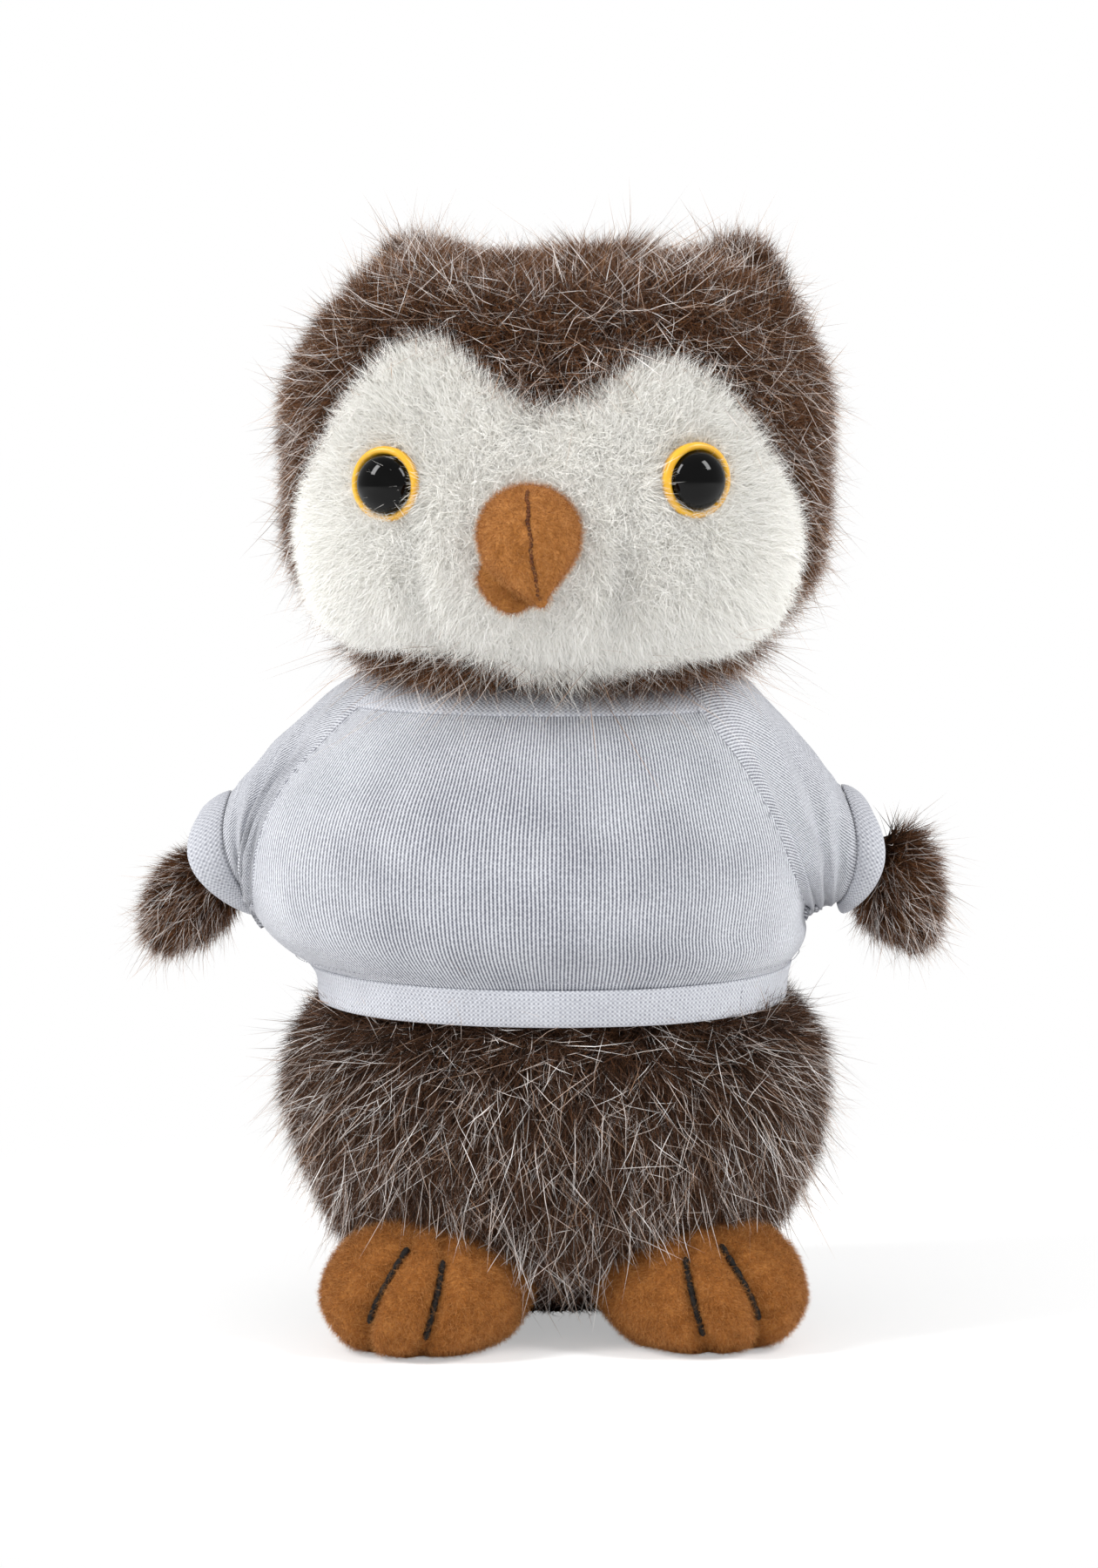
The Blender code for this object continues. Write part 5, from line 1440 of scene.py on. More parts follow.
    def ear_skin(self, side: Side) -> bpy.types.Mesh:
        """One ear tuft's backing: a low pocket of cloth at the head's corner."""
        reach = side.pick(self.left_ear, self.right_ear)
        crown = HEAD.foot + HEAD.height
        spine = (
            (side.sign * reach, 0.0, crown - 0.0190),
            (side.sign * (reach - 0.0006), 0.0, crown - 0.0110),
            (side.sign * (reach - 0.0010), 0.0, crown - 0.0040),
        )
        girth = ((0.0, 1.0, 1.0), (0.5, 0.92, 0.94), (0.8, 0.72, 0.78), (1.0, 0.46, 0.56))
        limb = Limb(spine, girth, 0.0112, 0.0078, (1.0, 0.0, 0.0))
        rings, first, last, _ = limb.rings(24, 10, 1.0 * MM)
        mesh = capped(f"{side.value}_ear_backing", rings, first, last, self.placed)
        count = len(mesh.vertices)
        height = np.array([v.co.z for v in mesh.vertices])
        cover = share((height - crown + 0.009) / 0.003) * 1.2
        comb = np.tile([side.sign * 0.2, -0.1, 1.0], (count, 1))
        set_hair(mesh, cover, np.ones(count), comb)
        return mesh

    def face_skin(self) -> bpy.types.Mesh:
        """The white face's backing with where and how its pile grows."""
        columns, rows = 90, 52
        half = math.radians(self.face_half_angle) - self.side_inset / HEAD.half_width
        azimuth = np.linspace(-half, half, columns)
        low, high = self.face_edges(azimuth)
        up = (1.0 - np.cos(np.linspace(0.0, math.pi, rows))) / 2
        height = low[None, :] + (high - low)[None, :] * up[:, None]
        across = np.repeat(azimuth[None, :], rows, axis=0)
        sides = 1.0 - np.abs(azimuth / half)
        edge = np.minimum(sides[None, :] * 3.2, np.minimum(up, 1.0 - up)[:, None] * 3.6)
        relief = self.face_relief(across, height, edge)
        grid = HEAD.surface(across, HEAD.run_at(height), relief - 1.7 * MM)
        bumps = lumps(grid, 9 * MM, 1.3) * 0.55 * MM
        grid[..., 1] -= bumps * share(edge)
        mesh = grid_mesh("face_backing", self.placed(grid), closed=False)
        inside = share(edge * 3.0)
        aside = across / half
        rise = (height - NECK - 0.030) / 0.024
        strength = 0.35 + 0.65 * share(np.hypot(aside, rise) - 0.2)
        comb = np.zeros(grid.shape)
        comb[..., 0] = np.cos(across) * aside * strength
        comb[..., 1] = np.sin(across) * aside * strength
        comb[..., 2] = rise * strength
        chin = share(1.0 - (height - low[None, :]) / (7 * MM))
        chin = chin * bell(across, math.radians(1.0), math.radians(13.0))
        comb[..., 2] -= 0.8 * chin
        reach = 1.0 + 0.35 * (1.0 - inside) + 0.9 * chin
        for sign in (-1.0, 1.0):
            eye = np.hypot(grid[..., 0] - sign * 0.0168, height - HEAD.foot - 0.0320)
            beside = bell(eye, 0.0, 2.4 * MM)
            reach = reach + (1.15 if sign < 0.0 else 0.85) * beside
            comb[..., 0] += sign * 0.9 * beside
        cover = (0.75 + 0.25 * inside).ravel()
        set_hair(mesh, cover, reach.ravel(), self.placed(comb.reshape(-1, 3)))
        return mesh

    def front(self, reach: float, height: float, inwards: float = 0.0) -> np.ndarray:
        """Outermost point of the white pile at a place of the straight face."""
        azimuth = math.copysign(HEAD.front_angle(abs(reach), height), reach)
        at, up = np.array([azimuth]), np.array([height])
        muzzle = bell(at, 0.0, math.radians(20)) * bell(up, HEAD.foot + 0.0215, 0.0140)
        relief = self.face_pile + self.muzzle_swell * muzzle
        run = np.array([HEAD.run_at(height)])
        return HEAD.surface(np.array([azimuth]), run, relief - inwards)[0]

    def build(self) -> list[bpy.types.Object]:
        """Makes head, ears, face and their hair."""
        skin = self.head_skin()
        ears = {side: self.ear_skin(side) for side in Side}
        face = self.face_skin()
        brown = [
            self.undercoat.grow(skin, "head_undercoat_a", 21, 0.5),
            self.undercoat.grow(skin, "head_undercoat_b", 22, 0.5),
            self.guard.grow(skin, "head_guard_hair_a", 23, 0.5),
            self.guard.grow(skin, "head_guard_hair_b", 26, 0.5),
        ]
        for side, mesh in ears.items():
            brown.append(self.undercoat.grow(mesh, f"{side.value}_ear_undercoat", 24))
            brown.append(self.guard.grow(mesh, f"{side.value}_ear_guard_hair", 25))
        white = [
            self.pile.grow(face, "face_pile_a", 31, 0.5),
            self.pile.grow(face, "face_pile_b", 32, 0.5),
            self.fluff.grow(face, "face_fluff", 33),
        ]
        backing = piece("head_backing", skin, "backing")
        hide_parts("head_skin", "head_stuffing")
        brown.append(backing)
        for side, mesh in ears.items():
            ear = piece(f"{side.value}_ear_backing", mesh, "backing")
            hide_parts(f"{side.value}_ear_tuft")
            brown.append(ear)
        panel = piece("face_backing", face, "white_backing")
        thicken(panel, 0.8 * MM)
        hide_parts("face_panel")
        white.append(panel)
        for made in brown:
            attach(made, "head")
        for made in white:
            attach(made, "head")
        return brown + white


@dataclass
class Eyes:
    """Plastic eyes: a yellow plate with a domed black pupil."""

    head: HeadPlush
    spread: float = 0.0233
    left_outward: float = 1.0
    right_outward: float = 10.0
    height: float = 0.0320
    right_rise: float = 0.0008
    radius: float = 6.0 * MM
    plate: float = 2.4 * MM
    pupil: float = 4.75 * MM
    dome: float = 3.6 * MM
    shank: float = 2.0 * MM

    def turned(
        self, name: str, profile: Sequence[tuple[float, float]], side: Side
    ) -> bpy.types.Mesh:
        """A solid turned about the eye's axis."""
        height = HEAD.foot + self.height
        height += self.right_rise if side is Side.RIGHT else 0.0
        azimuth = np.array([side.sign * HEAD.front_angle(self.spread, height)])
        run = np.array([HEAD.run_at(height)])
        ground = HEAD.surface(azimuth, run, 0.0)[0]
        ahead = HEAD.surface(azimuth, run, 1.0)[0] - ground
        outward_by = side.pick(self.left_outward, self.right_outward)
        ahead = turned_head(ahead / np.linalg.norm(ahead), side.sign * outward_by)
        right = np.cross((0.0, 0.0, 1.0), ahead)
        right = right / np.linalg.norm(right)
        up = np.cross(ahead, right)
        start = ground + ahead * 0.9 * MM
        turn = turns(64)
        rings = np.array(
            [
                start
                + np.outer(np.cos(turn), right) * r
                + np.outer(np.sin(turn), up) * r
                + ahead * z
                for r, z in profile[1:-1]
            ]
        )
        poles = [start + ahead * profile[0][1], start + ahead * profile[-1][1]]
        return capped(name, rings, *poles, self.head.placed)

    def build(self) -> list[bpy.types.Object]:
        """Makes both eyes."""
        rim = 0.9 * MM
        plate = [(0.0, -8 * MM), (self.shank, -8 * MM), (self.shank, 0.0)]
        plate += [(self.radius - rim, 0.0), (self.radius - 0.2 * MM, 0.25 * MM)]
        for a in np.linspace(0.0, math.pi, 9):
            plate.append(
                (
                    self.radius - 0.65 * MM + 0.65 * MM * math.cos(a),
                    self.plate - 0.8 * MM + 0.8 * MM * math.sin(a),
                )
            )
        plate += [(self.pupil + 0.05 * MM, 1.1 * MM), (0.0, 1.1 * MM)]
        dome = [(0.0, 1.4 * MM), (self.pupil, 1.4 * MM)]
        for a in np.linspace(0.0, math.pi / 2, 18)[:-1]:
            dome.append(
                (self.pupil * math.cos(a), self.plate - 0.7 * MM + self.dome * math.sin(a))
            )
        dome.append((0.0, self.plate - 0.7 * MM + self.dome))
        made = []
        for side in Side:
            for part, profile, key, slot in (
                ("eye_plate", plate, "iris", "yellow_plastic"),
                ("eye_pupil", dome, "pupil", "black_plastic"),
            ):
                name = f"{side.value}_{part}_turned"
                one = piece(name, self.turned(name, profile, side), key)
                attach(one, "head")
                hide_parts(f"{side.value}_{part}")
                made.append(one)
            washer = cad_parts[f"{side.value}_eye_washer"]
            for place in washer.material_slots:
                place.material = finish("washer")
        return made


@dataclass
class Beak:
    """Two stuffed fleece lobes, with a thread down the upper one."""

    head: HeadPlush
    height: float = 0.0252
    reach: float = 0.0150
    drop: float = 0.0100
    half_width: float = 0.0079
    half_thickness: float = 0.0072
    sidestep: float = 0.0026
    root_left: float = 0.0011

    def upper(self) -> Limb:
        """The upper lobe's sweep, on the straight head."""
        root = self.head.front(-self.root_left, HEAD.foot + self.height, 0.6 * MM)
        root = root + np.array([0.0, self.half_thickness / 2, 0.0])
        aside = np.array([self.sidestep, 0.0, 0.0])
        ahead, down = np.array([0.0, -self.reach, 0.0]), np.array([0.0, 0.0, -self.drop])
        shares = ((0.0, 0.0), (0.36, 0.03), (0.66, 0.26), (0.86, 0.62), (0.92, 1.0))
        spine = tuple(root + ahead * r + (down + aside) * d for r, d in shares)
        girth = (
            (0.00, 0.90, 0.95), (0.25, 1.00, 1.00), (0.50, 0.93, 0.92), (0.75, 0.66, 0.68),
            (0.92, 0.33, 0.36), (1.00, 0.12, 0.14),
        )
        return Limb(spine, girth, self.half_width, self.half_thickness, (1.0, 0.0, 0.0))

    def lower(self) -> Limb:
        """The lower lobe's sweep."""
        low = self.head.front(-self.root_left - 0.0022, HEAD.foot + 0.0200, 0.6 * MM)
        low = low + np.array([0.0, 0.0040, 0.0])
        spine = (
            low,
            low + np.array([0.0, -0.0042, -0.0017]),
            low + np.array([0.0, -0.0085, -0.0052]),
        )
        girth = ((0.0, 1.0, 1.0), (0.5, 0.92, 0.92), (0.85, 0.62, 0.62), (1.0, 0.34, 0.34))
        return Limb(spine, girth, 0.0061, 0.0042, (1.0, 0.0, 0.0))

    def build(self) -> list[bpy.types.Object]:
        """Makes both lobes and the thread."""
        made = []
        for name, limb, key, node, slot in (
            ("beak_upper_lobe", self.upper(), "beak_fleece", "beak_upper", "beak_fleece"),
            # The lower lobe takes the darker fleece, painted shade under the upper lobe
            (
                "beak_lower_lobe",
                self.lower(),
                "beak_low_fleece_painted_shade",
                "beak_lower",
                "beak_fleece_dark",
            ),
        ):
            rings, first, last, shares = limb.rings(40, 30)
            wobble = lumps(rings, 3.5 * MM, 5.0) * 0.22 * MM
            rings = rings + grid_normals(rings, True) * wobble[..., None]
            if node == "beak_upper":
                turn = turns(40)
                outer = bell((turn + math.pi / 2 + math.pi) % math.tau - math.pi, 0.0, 0.16)
                groove = outer[None, :] * share(shares * 2.2)[:, None]
                rings = rings - grid_normals(rings, True) * (groove * 0.45 * MM)[..., None]
            mesh = capped(name, rings, first, last, self.head.placed)
            one = piece(name, mesh, key)
            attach(one, "head")
            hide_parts(node)
            fuzz = FUZZ.cover(mesh, f"{name}_fuzz", slot)
            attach(fuzz, "head")
            made += [one, fuzz]
        limb = self.upper()
        route = []
        for run in np.linspace(0.30, 0.99, 40):
            middle, ahead, across = limb.frame_at(run)
            out = np.cross(across, ahead)
            out = out if out[1] < 0.0 else -out
            thick = limb.girth_at(run)[1]
            sway = 0.14 * math.sin(run * 31.0) + 0.06 * math.sin(run * 77.0)
            route.append(middle + out * (thick - 0.10 * MM) + across * sway * MM)
        seam = StitchRow(0.36 * MM, 0.9 * MM, 1.0).sew(
            self.head.placed(np.array(route)), "beak_seam_stitches", "brown_thread"
        )
        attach(seam, "head")
        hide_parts("beak_seam_thread")
        return made + [seam]


# Stitches


class StitchTree(NodeRule):
    """Lays stitches end to end along a line."""

    NAME = "stitches_on_line"
    OUTPUT = "Stitches"
    SOCKETS = {
        "Geometry": ("Line",),
        "Object": ("Stitch",),
        "Float": ("Spacing", "Filled", "Radius"),
        "Material": ("Thread",),
    }

    def wire(self) -> bpy.types.NodeSocket:
        """Lays out the tree's nodes and returns what it puts out."""
        given = self.given
        line = self.node("GeometryNodeMeshToCurve", {0: given["Line"]})
        even = self.node(
            "GeometryNodeCurveToPoints",
            {"Curve": line.outputs[0], "Length": given["Spacing"]},
            mode="LENGTH",
        )
        aimed = self.node(
            "FunctionNodeAlignRotationToVector", {"Vector": even.outputs["Tangent"]}, axis="Z"
        )
        odds = self.node("FunctionNodeRandomValue", {"Min": 0.9, "Max": 1.1}, data_type="FLOAT")
        long = self.number("MULTIPLY", given["Spacing"], given["Filled"])
        long = self.number("MULTIPLY", long, shown(odds, "Value"))
        scale = self.joined(given["Radius"], given["Radius"], long)
        real = self.cloned(even.outputs[0], given["Stitch"], aimed.outputs[0], scale)
        return self.dressed(real, given["Thread"])


stitch_tree = cache(StitchTree)


@cache
def stitch_blank() -> bpy.types.Object:
    """One stitch of unit length and radius: a rounded bead, unlinked."""
    profile = ((-0.5, 0.35), (-0.38, 0.85), (0.0, 1.0), (0.38, 0.85), (0.5, 0.35))
    turn = turns(6)
    grid = np.array(
        [np.stack([r * np.cos(turn), r * np.sin(turn), np.full(6, z)], -1) for z, r in profile]
    )
    mesh = grid_mesh(
        "stitch", grid, first=np.array([0.0, 0.0, -0.53]), last=np.array([0.0, 0.0, 0.53])
    )
    return blank("stitch", outward(mesh))


@dataclass(frozen=True)
class StitchRow:
    """A row of stitches: thread radius, stitch spacing and filled share."""

    radius: float
    spacing: float
    filled: float

    def sew(self, route: np.ndarray, name: str, key: str) -> bpy.types.Object:
        """Lays the stitches along a route.

        Args:
            route: points of the line.
            name: the piece's name.
            key: the thread's finish.

        Returns:
            The stitches as one piece.
        """
        line = bpy.data.meshes.new(name)
        edges = [(i, i + 1) for i in range(len(route) - 1)]
        line.from_pydata([tuple(p) for p in route], edges, [])
        values = {
            "Stitch": stitch_blank(),
            "Spacing": self.spacing,
            "Filled": self.filled,
            "Radius": self.radius,
            "Thread": finish(key),
        }
        made = stitch_tree().apply(name, line, values)
        made.data.shade_smooth()
        return made


# Feet and wings


@dataclass
class Feet:
    """Two fleece feet with three toes each and black toe lines."""

    left: tuple[float, float] = (0.0213, 0.0262)
    right: tuple[float, float] = (0.0236, 0.0232)
    half_width: float = 0.0165
    half_length: float = 0.0190
    height: float = 0.0210
    splay: float = 15.0
    groove: float = 16.7
    groove_width: float = 7.5
    groove_depth: float = 2.7 * MM
    toe_turn: float = 5.0
    outer_slant: float = 34.0
    inner_slant: float = 18.0
    setback: float = 0.0040
    profile: tuple = (
        (0.000, 0.000), (0.004, 0.430), (0.030, 0.600), (0.090, 0.755), (0.200, 0.900),
        (0.360, 1.000), (0.540, 0.985), (0.700, 0.900), (0.840, 0.740), (0.945, 0.470),
        (0.990, 0.200), (1.000, 0.000),
    )

    def toe_angle(self, side: Side, outer: bool, lift: float) -> float:
        """Azimuth of a toe groove at a share of the foot's height."""
        slant = self.outer_slant if outer else self.inner_slant
        apart = self.groove if outer else -self.groove
        return side.sign * math.radians(apart - self.toe_turn + slant * (0.5 - lift))

    def profile_at(self, run: float) -> tuple[float, float]:
        """Height and size share at a share of the profile's run."""
        rows = np.array(self.profile) * np.array([self.height + 0.0005, 1.0])
        rows[:, 0] -= 0.0005
        metric = rows * np.array([1.0, self.half_length])
        high, size = spline(chord_length(metric), rows, np.array([run]))[0]
        return high, max(size, 0.0)

    def point(self, azimuth: np.ndarray, run: float, side: Side) -> np.ndarray:
        """Points of a foot's surface in its own frame."""
        high, size = self.profile_at(run)
        power = 2.0 / 2.2
        across, ahead = np.sin(azimuth), np.cos(azimuth)
        lift = max(high, 0.0) / self.height
        groove = sum(
            bell(azimuth, self.toe_angle(side, outer, lift), math.radians(self.groove_width))
            for outer in (True, False)
        )
        shape = size * (1.0 - self.groove_depth / self.half_length * groove)
        return np.stack(
            [
                self.half_width * shape * np.sign(across) * np.abs(across) ** power,
                -self.half_length * shape * np.sign(ahead) * np.abs(ahead) ** power
                + self.setback * lift,
                np.full(np.shape(azimuth), high),
            ],
            axis=-1,
        )

    def placed(self, points: np.ndarray, side: Side) -> np.ndarray:
        """Points of a foot's own frame, where the foot stands."""
        reach, forward = side.pick(self.left, self.right)
        turned = turned_head(points, side.sign * self.splay)
        return turned + np.array([side.sign * reach, -forward, 0.0])

    def toe_line(self, side: Side, outer: bool) -> np.ndarray:
        """Route of a toe's thread in its groove."""
        shares = (0.455, 0.670) if outer else (0.405, 0.620)
        route = []
        for run in np.linspace(*shares, 40):
            angle = np.array([self.toe_angle(side, outer, self.profile_at(run)[0] / self.height)])
            spot = self.point(angle, run, side)[0]
            ends = [self.point(angle, run + d, side)[0] for d in (-0.01, 0.01)]
            out = np.cross(ends[1] - ends[0], (math.cos(angle[0]), math.sin(angle[0]), 0.0))
            out = out / np.linalg.norm(out)
            out = out if np.dot(out, spot) > 0.0 else -out
            route.append(spot + out * 0.15 * MM)
        return self.placed(np.array(route), side)

    def build(self) -> list[bpy.types.Object]:
        """Makes both feet and their toe lines."""
        made = []
        rows, columns = 44, 132
        for side in Side:
            azimuth = turns(columns) - math.pi
            runs = np.linspace(0.17, 0.975, rows)
            grid = np.array([self.point(azimuth, run, side) for run in runs])
            wobble = lumps(grid, 7 * MM, 2.0 + side.sign) * 0.45 * MM
            wobble = wobble + lumps(grid, 2.4 * MM, 9.0) * 0.14 * MM
            grid = grid + grid_normals(grid, True) * (wobble - 0.1 * MM)[..., None]
            grid[..., 2] = np.maximum(grid[..., 2], 0.1 * MM)
            first = np.array([0.0, 0.0, 0.1 * MM])
            last = np.array([0.0, self.setback, self.height])
            name = f"{side.value}_fleece_foot"
            mesh = capped(name, grid, first, last, partial(self.placed, side=side))
            foot = piece(name, mesh, "foot_fleece")
            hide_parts(f"{side.value}_foot")
            made.append(foot)
            made.append(FUZZ.cover(foot.data, f"{side.value}_foot_fuzz", "caramel_fleece"))
            for outer, toe in ((True, "outer"), (False, "inner")):
                line = StitchRow(0.58 * MM, 2.2 * MM, 1.1).sew(
                    self.toe_line(side, outer), f"{side.value}_{toe}_toe_stitches", "black_thread"
                )
                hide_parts(f"{side.value}_{toe}_toe_thread")
                made.append(line)
        for one in made:
            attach(one, "body")
        return made


@dataclass
class Wings:
    """Stuffed paddles with long pile, which swing at the shoulders."""

    root: tuple[float, float] = (0.046189, 0.0810)
    root_radius: float = 4.6 * MM
    left: tuple[float, float] = (0.0178, 0.0165)
    right: tuple[float, float] = (0.0125, 0.0160)
    forward: float = 0.0030
    half_width: float = 7.1 * MM
    half_thickness: float = 6.8 * MM
    upper_swell: dict = field(
        default_factory=lambda: {Side.LEFT: 0.3 * MM, Side.RIGHT: 5.0 * MM}
    )
    undercoat: Coat = field(
        default_factory=lambda: Coat(
            20.0e6, 4.2 * MM, 0.35, 0.20 * MM, 0.70, 0.70, 0.9, 5 * MM, 0.50, 0.0, 0.0,
            1, "undercoat",
        )
    )
    guard: Coat = field(
        default_factory=lambda: Coat(
            3.6e6, 6.2 * MM, 0.40, 0.12 * MM, 0.70, 0.38, 1.0, 5 * MM, 0.50, 0.38, 0.08,
            3, "guard",
        )
    )

    def build(self) -> list[bpy.types.Object]:
        """Makes both wings and their hair."""
        made = []
        for side in Side:
            out, down = side.pick(self.left, self.right)
            start = np.array([side.sign * self.root[0], 0.0, self.root[1]])
            shares = ((0.0, 0.0, 0.0), (0.38, 0.31, 0.15), (0.76, 0.69, 0.75), (1.0, 1.0, 1.0))
            spine = tuple(
                start + np.array([side.sign * out * o, -self.forward * f, -down * d])
                for o, d, f in shares
            )
            girth = (
                (0.0, self.root_radius / self.half_width, self.root_radius / self.half_thickness),
                (0.25, 0.64, 0.74), (0.50, 0.84, 0.92), (0.75, 1.00, 0.94),
                (0.90, 0.86, 0.76), (1.00, 0.60, 0.52),
            )
            across = (0.6, 0.0, 0.8 * side.sign)
            limb = Limb(spine, girth, self.half_width, self.half_thickness, across)
            rings, first, last, run = limb.rings(36, 26, 2.0 * MM)
            upper = share(grid_normals(rings, True)[..., 2])
            lift = self.upper_swell[side] * bell(run, 0.56, 0.22)[:, None] * upper
            rings[..., 2] += lift
            mesh = outward(grid_mesh(f"{side.value}_wing_backing", rings, first=first, last=last))
            way = np.append(np.repeat(run, 36), [0.0, 1.0])
            above = np.append(lift.ravel(), [0.0, 0.0]) / (3.0 * MM)
            comb = np.zeros((len(way), 3))
            ahead = spine[-1] - spine[1]
            comb[:] = ahead / np.linalg.norm(ahead)
            comb[:, 2] += 0.6 * above
            set_hair(mesh, share((way - 0.42) / 0.08), 1.0 + 0.25 * above, comb)
            hair = [
                self.undercoat.grow(mesh, f"{side.value}_wing_undercoat", 41),
                self.guard.grow(mesh, f"{side.value}_wing_guard_hair", 42),
            ]
            backing = piece(f"{side.value}_wing_backing", mesh, "backing")
            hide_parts(f"{side.value}_wing")
            for one in [backing, *hair]:
                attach(one, f"{side.value}_wing")
                made.append(one)
        return made


# The shirt


@dataclass
class Shirt:
    """The jersey T-shirt: two panels, raglan sleeves and four bands."""

    hem_bottom: float = 0.0536
    hem_top: float = 0.0594
    collar_low: float = 0.1022
    collar_top: float = 0.1062
    cloth: float = 0.7 * MM
    layer: float = 0.5 * MM
    band: float = 1.2 * MM
    allowance: float = 2.5 * MM
    cuff_span: float = 0.0195
    shoulder_lift: dict[Side, float] = field(
        default_factory=lambda: {Side.LEFT: 0.15, Side.RIGHT: 0.40}
    )
    cuff_depth: float = 0.0111
    seam_bulge: float = 0.55
    joint_at: float = 0.86
    sleeve_girth: float = math.tau * 0.0125
    # Place along the sleeve, height in millimetres, width and how far each fold
    # keeps to the lower side
    left_folds: tuple = (
        (0.30, 2.0, 0.085, 0.8), (0.52, 2.3, 0.075, 0.6), (0.74, 1.7, 0.070, 0.5),
    )
    right_folds: tuple = (
        (0.22, 1.8, 0.080, 1.0), (0.50, 1.8, 0.100, 0.6), (0.80, 1.3, 0.070, 0.4),
    )
    # Foot of the cuff's seam in X and Z, lean of seam and mouth in degrees, bulge
    left_cuff: tuple = (0.0485, 0.0682, 15.0, 26.0, 0.0052)
    right_cuff: tuple = (0.0460, 0.0685, 2.0, 9.0, 0.0044)
    left_side: tuple = (
        (0.0500, 0.0385), (0.0594, 0.0396), (0.0620, 0.0437), (0.0640, 0.0462),
        (0.0665, 0.0481), (0.0700, 0.0496), (0.0740, 0.0505), (0.0800, 0.0503),
        (0.0850, 0.0488), (0.0880, 0.0472), (0.0920, 0.0440), (0.0960, 0.0408),
        (0.1000, 0.0368), (0.1040, 0.0320), (0.1070, 0.0265),
    )
    right_side: tuple = (
        (0.0500, 0.0365), (0.0594, 0.0372), (0.0615, 0.0389), (0.0643, 0.0398),
        (0.0670, 0.0394), (0.0700, 0.0400), (0.0740, 0.0410), (0.0800, 0.0408),
        (0.0870, 0.0389), (0.0920, 0.0372), (0.0980, 0.0350), (0.1030, 0.0315),
        (0.1070, 0.0265),
    )
    left_seam: tuple = (
        (0.0650, -0.0500), (0.0700, -0.0496), (0.0800, -0.0485), (0.0880, -0.0452),
        (0.0960, -0.0385), (0.1040, -0.0290), (0.1064, -0.0240),
    )
    right_seam: tuple = (
        (0.0662, 0.0415), (0.0700, 0.0402), (0.0850, 0.0345), (0.0960, 0.0280),
        (0.1035, 0.0215), (0.1064, 0.0185),
    )

    def torso(self, azimuth: np.ndarray, height: np.ndarray, offset: float) -> np.ndarray:
        """Points of the shirt's trunk at angles from the front and heights."""
        run = BODY.run_at(height)
        points = BODY.surface(azimuth, run, 0.0)
        form = BODY.section(np.ravel(run))[:, 1].reshape(np.shape(run))
        sides = np.where(
            points[..., 0] < 0.0,
            spline(*np.array(self.left_side).T, height),
            spline(*np.array(self.right_side).T, height),
        )
        front = share(np.cos(azimuth))
        points[..., 0] *= sides / form
        out = self.out(azimuth)
        puff = 0.8 * MM * front * bell(height, 0.0670, 0.0060)
        return points + out * (offset + puff)[..., None]

    def panel(self, azimuth: np.ndarray, height: np.ndarray, offset: float) -> np.ndarray:
        """Points of the trunk's cloth with its slight unevenness."""
        flat = self.torso(azimuth, height, offset)
        even = self.torso(azimuth, height, 1.1 * MM)
        crease = lumps(even * np.array([1.0, 1.0, 0.6]), 10 * MM, 4.2) * 0.35 * MM
        crease = crease + lumps(even, 4 * MM, 8.2) * 0.10 * MM
        return flat + self.out(azimuth) * crease[..., None]

    def seam_ring(self, side: Side, count: int, offset: float) -> np.ndarray:
        """The raglan ring on the trunk, from its top round the front."""
        table = np.array(side.pick(self.left_seam, self.right_seam))
        turn = turns(count)
        low, high = table[0, 0], table[-1, 0]
        height = (low + high) / 2 + (high - low) / 2 * np.cos(turn)
        x = spline(table[:, 0], table[:, 1], height)
        angles = np.linspace(0.0, math.pi, 361)
        ring = []
        for one_x, one_z, one_turn in zip(x, height, turn):
            span = self.torso(side.sign * angles, np.full(361, one_z), offset)
            side_x = span[:, 0] * side.sign
            best = int(np.argmax(side_x))
            front = span[: best + 1] if math.sin(one_turn) >= 0.0 else span[best:][::-1]
            y = np.interp(one_x * side.sign, front[:, 0] * side.sign, front[:, 1])
            ring.append((min(one_x * side.sign, side_x[best]) * side.sign, y, one_z))
        return np.array(ring)

    def cuff_rings(self, side: Side, count: int) -> tuple[np.ndarray, np.ndarray, float]:
        """Outer ring of the cuff's seam and of its mouth, and its tilt."""
        low_x, low_z, slope, tilt, bulge = side.pick(self.left_cuff, self.right_cuff)
        foot = np.array([low_x, low_z])
        mouth = foot + np.array([0.0012, -0.0016])
        turn = turns(count)
        half = self.cuff_span / 2
        rings = []
        for start, lean_deg, swell in (
            (foot, slope, bulge * self.seam_bulge),
            (mouth, tilt, bulge),
        ):
            lean = math.radians(lean_deg)
            bulged = swell * np.sin(turn) ** 2
            up = np.array([math.sin(lean), math.cos(lean)])
            middle = start + up * half
            rings.append(
                np.stack(
                    [
                        side.sign * (middle[0] + up[0] * half * np.cos(turn) + bulged),
                        -self.cuff_depth * np.sin(turn),
                        middle[1] + up[1] * half * np.cos(turn),
                    ],
                    axis=-1,
                )
            )
        return rings[0], rings[1], math.radians(tilt)

    def dress(
        self,
        made: bpy.types.Object,
        body: str | None,
        nodes: Sequence[str],
        flat: tuple[float, float],
        rests: Sequence[str],
        held: str = "stretched",
    ) -> bpy.types.Object:
        """Attaches a piece of cloth to what carries it, if given, and hides the CAD nodes that it stands
        for.
        """
        if body:
            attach(made, body)
        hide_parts(*nodes)
        return made

    def area(self, mesh: bpy.types.Mesh) -> float:
        """Area of a mesh's faces."""
        return sum(p.area for p in mesh.polygons)

